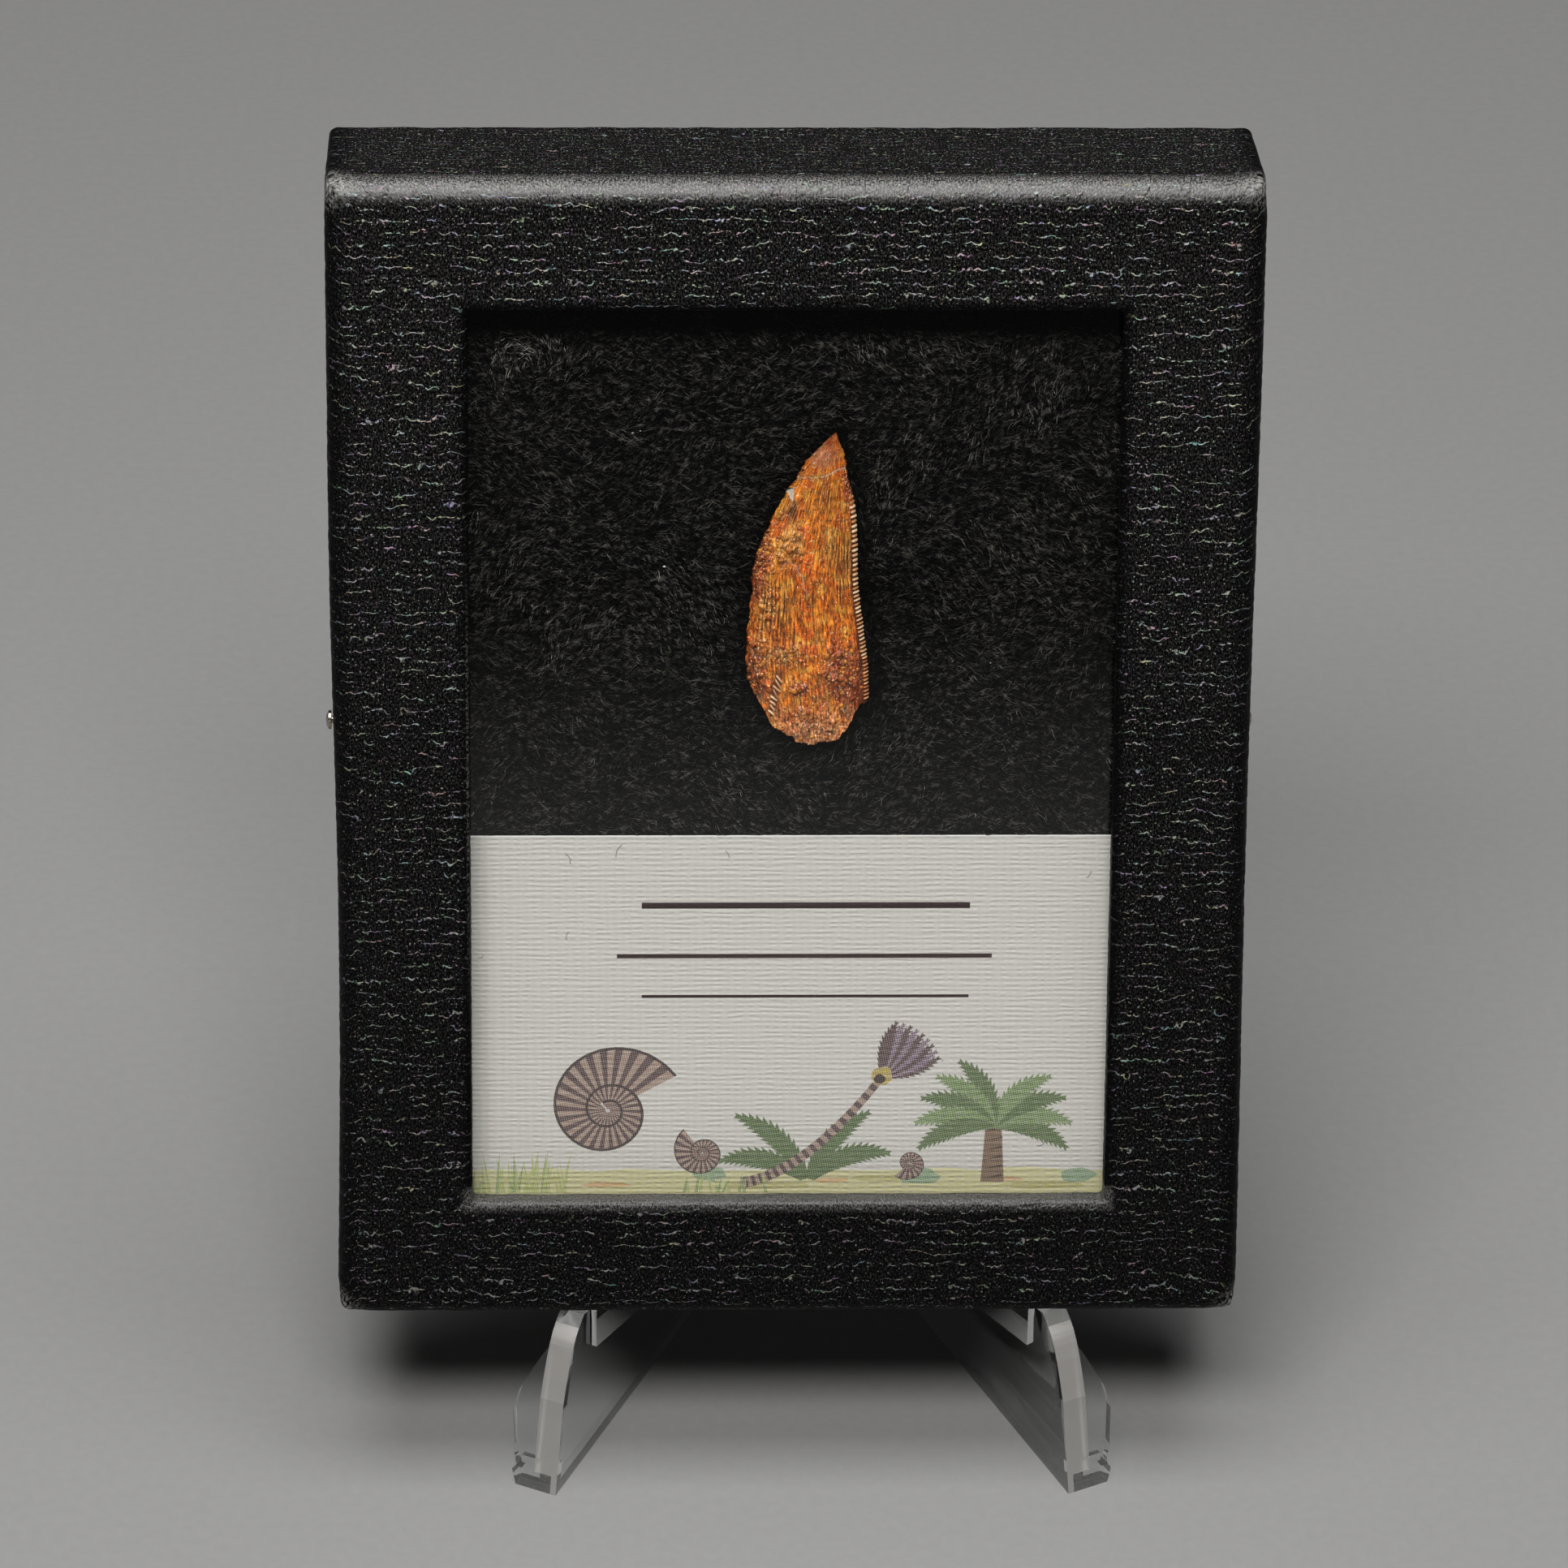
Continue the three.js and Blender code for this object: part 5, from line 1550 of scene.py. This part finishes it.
rounded = add(tree, "GeometryNodeSubdivisionSurface", {
    "Mesh": wedge, "Level": 1, "Edge Crease": 0.45}).outputs[0]
tx, ty, _ = apart(tree, stops.outputs["Tangent"])
heading = maths(tree, "ARCTAN2", maths(tree, "MULTIPLY", tx, -1.0), ty)
waver = maths(tree, "MULTIPLY", given["Waver"], chance(tree, -1.0, 1.0, 41))
heading = maths(tree, "ADD", maths(tree, "ADD", heading, given["Slant"]), waver)
size = together(tree, maths(tree, "MULTIPLY", given["Length"], chance(tree, 0.88, 1.1, 42)),
                maths(tree, "MULTIPLY", given["Width"], chance(tree, 0.85, 1.1, 43)), given["Thickness"])
turn = together(tree, 0.0, 0.0, heading)
paint(tree, toned_copies(tree, stops.outputs["Points"], rounded, turn, size, 44), given, result)

# %% [markdown]
# ## Enamel
# The enamel is amber, stained red by iron along the front edge and near the base, ochre where
# sand lay on it, umber in the hollows, and pinkish where it is worn through. Fields on the blade
# say where each stain lies, and noise frays their borders. Ridges are coloured by the same field
# that raised them: a painted highlight on their backs, painted shade in their grooves. Finer
# wrinkles are dark lines that run along the blade. The broken base shows its facets, each with a
# tone of its own.

# %% A group that frays a stain
stain_group, given, out = shader_group(
    "frayed_stain",
    {
        "Place": ("Vector", None), "Amount": ("Float", 0.0),
        "Fray": ("Float", 0.7), "Scale": ("Float", 1.2),
    },
    "Mask",
)
tree = stain_group
frays = cloud(tree, given["Place"], given["Scale"], 4)
spread = maths(tree, "MULTIPLY", maths(tree, "SUBTRACT", frays, 0.5), given["Fray"])
feed(out, Mask=ramp(tree, maths(tree, "ADD", given["Amount"], spread), 0.28, 0.68))
print("stain group:", len(tree.nodes), "nodes")

# %% The enamel's ground, its stains and its broken base
enamel, tree, shader = new_material("tooth_enamel", Coat_Weight=0.35, Coat_Roughness=0.15)
place, fan = box_place(tree), kept(tree, "fan", "Vector")
broad = cloud(tree, stretched(tree, fan, (0.8, 0.22, 1)), detail=3)
tone = blend(tree, ramp(tree, broad, 0.36, 0.64), (0.92, 0.25, 0.014, 1), (0.74, 0.125, 0.012, 1))
patches = cloud(tree, place, 1.1, 4)
tone = blend(tree, ramp(tree, patches, 0.46, 0.7, 0.0, 0.8), tone, (1.0, 0.46, 0.05, 1))
STAINS = [  # field, fray, scale of the fray, colour, strength
    ("ochre", 0.9, 1.5, (0.84, 0.36, 0.06, 1), 0.8),
    ("red", 0.85, 1.7, (0.34, 0.050, 0.014, 1), 0.9),
    ("pink", 0.8, 1.3, (0.62, 0.24, 0.12, 1), 0.75),
    ("amber", 0.7, 1.6, (1.0, 0.38, 0.02, 1), 0.95),
    ("umber", 0.8, 2.2, (0.22, 0.075, 0.016, 1), 0.75),
]
for name, fray, scale, colour, most in STAINS:
    inputs = {"Place": place, "Amount": kept(tree, name), "Fray": fray, "Scale": scale}
    stain = add(tree, "ShaderNodeGroup", inputs, node_tree=stain_group).outputs[0]
    tone = blend(tree, maths(tree, "MULTIPLY", stain, most), tone, colour)
stone = blend(tree, kept(tree, "facet"), (0.42, 0.11, 0.025, 1), (0.80, 0.37, 0.15, 1))
tone = blend(tree, maths(tree, "MULTIPLY", kept(tree, "broken"), 0.5), tone, stone)
print("enamel so far:", len(tree.nodes), "nodes")

# %% Its ridges, wrinkles and specks
ridge = kept(tree, "ridge")
# A painted highlight on the ridges' backs, then painted shade in their grooves.
tone = blend(tree, ramp(tree, ridge, 0.1, 0.6, 0.0, 0.7), tone, (1.0, 0.47, 0.10, 1))
fading = ramp(tree, cloud(tree, stretched(tree, fan, (1.5, 0.5, 1)), detail=2), 0.38, 0.6, 0.25, 1.0)
groove = maths(tree, "MULTIPLY", ramp(tree, ridge, -0.5, 0.0, 0.95, 0.0), fading)
tone = blend(tree, groove, tone, (0.07, 0.018, 0.006, 1))
furrow = maths(tree, "MULTIPLY_ADD", kept(tree, "furrow"), 0.55, 0.25)
lines = cloud(tree, stretched(tree, fan, (6.6, 0.36, 0.5)), detail=3)
lines = maths(tree, "MULTIPLY", ramp(tree, lines, 0.40, 0.5, 0.95, 0.0), furrow)
tone = blend(tree, lines, tone, (0.14, 0.045, 0.016, 1))
hair_lines = ramp(tree, cloud(tree, stretched(tree, fan, (11, 0.6, 0.5)), detail=2), 0.4, 0.52, 0.55, 0.0)
hair_lines = maths(tree, "MULTIPLY", hair_lines, furrow)
tone = blend(tree, hair_lines, tone, (0.2, 0.06, 0.02, 1))
specks = cloud(tree, place, 4.5, 3)
tone = blend(tree, ramp(tree, specks, 0.62, 0.7, 0.0, 0.6), tone, (0.2, 0.05, 0.02, 1))
crust = kept(tree, "crust")
# Pale sparks, strongest on the sandy crust: painted glints.
sparks = maths(tree, "MULTIPLY_ADD", crust, 0.07, cloud(tree, place, 5.5, 2))
tone = blend(tree, ramp(tree, sparks, 0.63, 0.70, 0.0, 0.9), tone, (1.0, 0.70, 0.38, 1))
pits = maths(tree, "MULTIPLY_ADD", crust, -0.08, cloud(tree, place, 3.4, 3))
tone = blend(tree, ramp(tree, pits, 0.30, 0.38, 0.75, 0.0), tone, (0.10, 0.025, 0.012, 1))
streaky = cloud(tree, stretched(tree, fan, (6.2, 1.5, 1)), detail=2)
tone = blend(tree, 1.0, tone, ramp(tree, streaky, 0.34, 0.66, 0.46, 1.6), "MULTIPLY")
for mark, colour in (("dark", (0.09, 0.026, 0.012, 1)), ("pale", (0.9, 0.78, 0.62, 1))):
    tone = blend(tree, kept(tree, mark), tone, colour)
feed(shader, Base_Color=tone, Roughness=ramp(tree, patches, 0.3, 0.7, 0.24, 0.42))
height = maths(tree, "MULTIPLY", lines, -0.08)
height = maths(tree, "MULTIPLY_ADD", hair_lines, -0.05, height)
grainy = maths(tree, "MULTIPLY_ADD", crust, 0.2, 0.07)
height = maths(tree, "ADD", maths(tree, "MULTIPLY", cloud(tree, place, 5.0, 3), grainy), height)
feed(shader, Normal=bump(tree, height))
print("enamel:", len(tree.nodes), "nodes")


# %% Sand and saw materials, and the pieces themselves
def toned_material(name, first, second, roughness):
    """A mottled mix of two colours, with the tone of each copy deciding the share."""
    made, tree, shader = new_material(name, Roughness=roughness)
    place = box_place(tree)
    mottle = maths(tree, "MULTIPLY_ADD", cloud(tree, place, 5.0, 3), 0.7, -0.35)
    share = ramp(tree, maths(tree, "ADD", kept(tree, "tone"), mottle), 0.0, 1.0)
    feed(shader, Base_Color=blend(tree, share, first, second))
    height = maths(tree, "MULTIPLY", cloud(tree, place, 9.0, 3), 0.04)
    feed(shader, Normal=bump(tree, height))
    return made


sand = toned_material("cemented_sand", (0.36, 0.070, 0.013, 1), (0.66, 0.25, 0.035, 1), 0.22)
saw_enamel = toned_material("saw_enamel", (0.58, 0.25, 0.09, 1), (0.95, 0.68, 0.42, 1), 0.25)
worn_enamel = toned_material("worn_enamel", (0.42, 0.11, 0.03, 1), (0.90, 0.45, 0.19, 1), 0.3)
grains = grown("tooth_sand", tooth, strew, {
    "Grains per mm2": 9.0, "Least": 0.06, "Most": 0.27, "Seed": 4, "Material": sand})
finish_piece(grains, sand, "fossil")


def saw_piece(name, line_x, line_y, line_z, material, **sizes):
    """A row of chisels along a line on the blade."""
    count = len(line_y)
    line = mesh_object(name + "_line", np.column_stack([line_x, line_y, line_z]) + TOOTH_AT, [])
    line.data.edges.add(count - 1)
    line.data.edges.foreach_set("vertices", [v for i in range(count - 1) for v in (i, i + 1)])
    made = grown(name, line, saw, {**sizes, "Material": material})
    bpy.data.objects.remove(line)
    finish_piece(made, material, "fossil")


SAW_ROWS = [  # name, from, to, inset, material, pitch, length, width
    ("tooth_saw_upper", 15.9, 24.2, 0.26, saw_enamel, 0.45, 0.6, 0.29),
    ("tooth_saw_middle", 9.1, 15.5, 0.28, saw_enamel, 0.36, 0.66, 0.18),
    ("tooth_saw_lower", 4.9, 8.8, 0.22, worn_enamel, 0.33, 0.56, 0.15),
]
for name, low, high, inset, material, pitch, length, width in SAW_ROWS:
    saw_y = np.linspace(low, high, 60)
    saw_piece(name, hind_edge(saw_y) - inset, saw_y, np.zeros(60), material,
              Pitch=pitch, Length=length, Width=width)
steps = np.linspace(0, 1, 24)
patch_x, patch_y = (
    np.interp(steps, np.linspace(0, 1, len(OLD_SAW)), part) for part in zip(*OLD_SAW[::-1])
)
width = hind_edge(patch_y) - front_edge(patch_y)
patch_z = lens(2 * (patch_x - front_edge(patch_y)) / width - 1, patch_y, np.ones(24)) - 0.02
sight_y = patch_y - 0.42 + SIGHT * patch_z
saw_piece("tooth_old_saw", patch_x, sight_y, patch_z, saw_enamel, Pitch=0.46, Length=1.12, Width=0.2,
          Thickness=0.5, Slant=-3.85, Waver=0.22)
finish_piece(tooth, enamel, "fossil", "tooth")

# %% [markdown]
# ## The easel
#
# The stand is one moulding in clear plastic. Its solid has the right shape but knife-sharp edges,
# and it is the rounded edges that catch the light on a clear thing. So a copy is merged into one
# skin, its flat faces are joined again, and a bevel rounds every corner a little.

# %% Round the easel and the tray
MERGE_WITHIN, FLAT_ANGLE, SHARP_ANGLE = 2e-6, math.radians(0.6), math.radians(28)


def rounded_copy(name, node, width):
    """A CAD node's mesh, merged and with its edges rounded by width millimetres."""
    made = placed(name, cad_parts[node].data.copy())
    bm = bmesh.new()
    bm.from_mesh(made.data)
    bmesh.ops.remove_doubles(bm, verts=bm.verts, dist=MERGE_WITHIN)
    bmesh.ops.dissolve_limit(bm, angle_limit=FLAT_ANGLE, verts=bm.verts, edges=bm.edges)
    bm.to_mesh(made.data)
    bm.free()
    bevel = made.modifiers.new("round", "BEVEL")
    bevel.width, bevel.segments, bevel.limit_method = width / 1000, 2, "ANGLE"
    bevel.angle_limit, bevel.harden_normals = SHARP_ANGLE, True
    as_plain(made)
    return made


plastic, tree, shader = clear_material(
    "clear_plastic", (0.93, 0.94, 0.935, 1), shine=0.5, roughness=0.04, ior=1.49)
place = object_place(tree)
flow = cloud(tree, stretched(tree, place, (90, 90, 40)), detail=1)
scuffs = ramp(tree, cloud(tree, stretched(tree, place, (700, 700, 260)), detail=4), 0.58, 0.75, 0.02, 0.1)
feed(shader, Roughness=scuffs, Normal=bump(tree, maths(tree, "MULTIPLY", flow, 0.1)))
# Partly a frosted finish and partly painted light: the plates' front faces get a pale, less clear share, in
# place of light caught inside the plastic.
frosted_and_painted_light, tree, shader = clear_material(
    "frosted_plastic_and_painted_light", (0.88, 0.85, 0.82, 1), shine=0.5, roughness=0.3, ior=1.49)
feed(shader, Transmission_Weight=0.65)
easel = rounded_copy("clear_easel", "easel_stand", 0.3)
coat(easel, plastic, frosted_and_painted_light)
declare(easel, "clear_plastic", "easel_stand")
EASEL_MIDDLE, EASEL_FOOT, PLATE_TURN, PLATE_EDGE, FACES_FRONT = 2.5, (24.3, -27.5), 0.445, 2.5, -0.6
for face in easel.data.polygons:
    aside = abs(1000 * face.center.x - EASEL_MIDDLE) - EASEL_FOOT[0]
    behind = 1000 * face.center.y - EASEL_FOOT[1]
    outwards = aside * math.cos(PLATE_TURN) + behind * math.sin(PLATE_TURN)
    face.material_index = 1 if face.normal.y < FACES_FRONT and outwards < PLATE_EDGE else 0
print("frosted faces:", sum(face.material_index for face in easel.data.polygons))

# %% [markdown]
# ## The tray and the pins
#
# The tray is the lower half of the box, a board tray in plain black paper that closes the back.
# Two pins through the skirt hold the lid on it; their small round heads are steel.

# %% Tray and pins
board_paper, tree, shader = new_material("black_board_paper", Roughness=0.7)
place = box_place(tree)
tooth_of_paper = cloud(tree, place, 4.0, 4)
tone = blend(tree, tooth_of_paper, (0.008, 0.008, 0.009, 1), (0.026, 0.025, 0.025, 1))
scuffed = ramp(tree, cloud(tree, place, 0.12, 2), 0.35, 0.65, 0.0, 0.5)
tone = blend(tree, scuffed, tone, (0.03, 0.029, 0.028, 1))
flecks = ramp(tree, cloud(tree, stretched(tree, place, (1.5, 5, 4)), detail=2), 0.66, 0.74, 0.0, 0.6)
feed(shader, Base_Color=blend(tree, flecks, tone, (0.09, 0.09, 0.085, 1)))
feed(shader, Normal=bump(tree, maths(tree, "MULTIPLY", tooth_of_paper, 0.06)))
tray = rounded_copy("board_tray", "base_tray", 0.35)
coat(tray, board_paper)
declare(tray, "tray_board", "base_tray")

steel, tree, shader = new_material("pin_steel", Metallic=1.0, Base_Color=(0.42, 0.38, 0.33, 1))
place = object_place(tree)
brush = cloud(tree, stretched(tree, place, (3000, 9000, 3000)), detail=3)
feed(shader, Roughness=ramp(tree, brush, 0.3, 0.7, 0.18, 0.4))
feed(shader, Normal=bump(tree, maths(tree, "MULTIPLY", brush, 0.01)))
for name in ("side_pin_left", "side_pin_right"):
    coat(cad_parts[name], steel)
print("pins: two solids in steel")
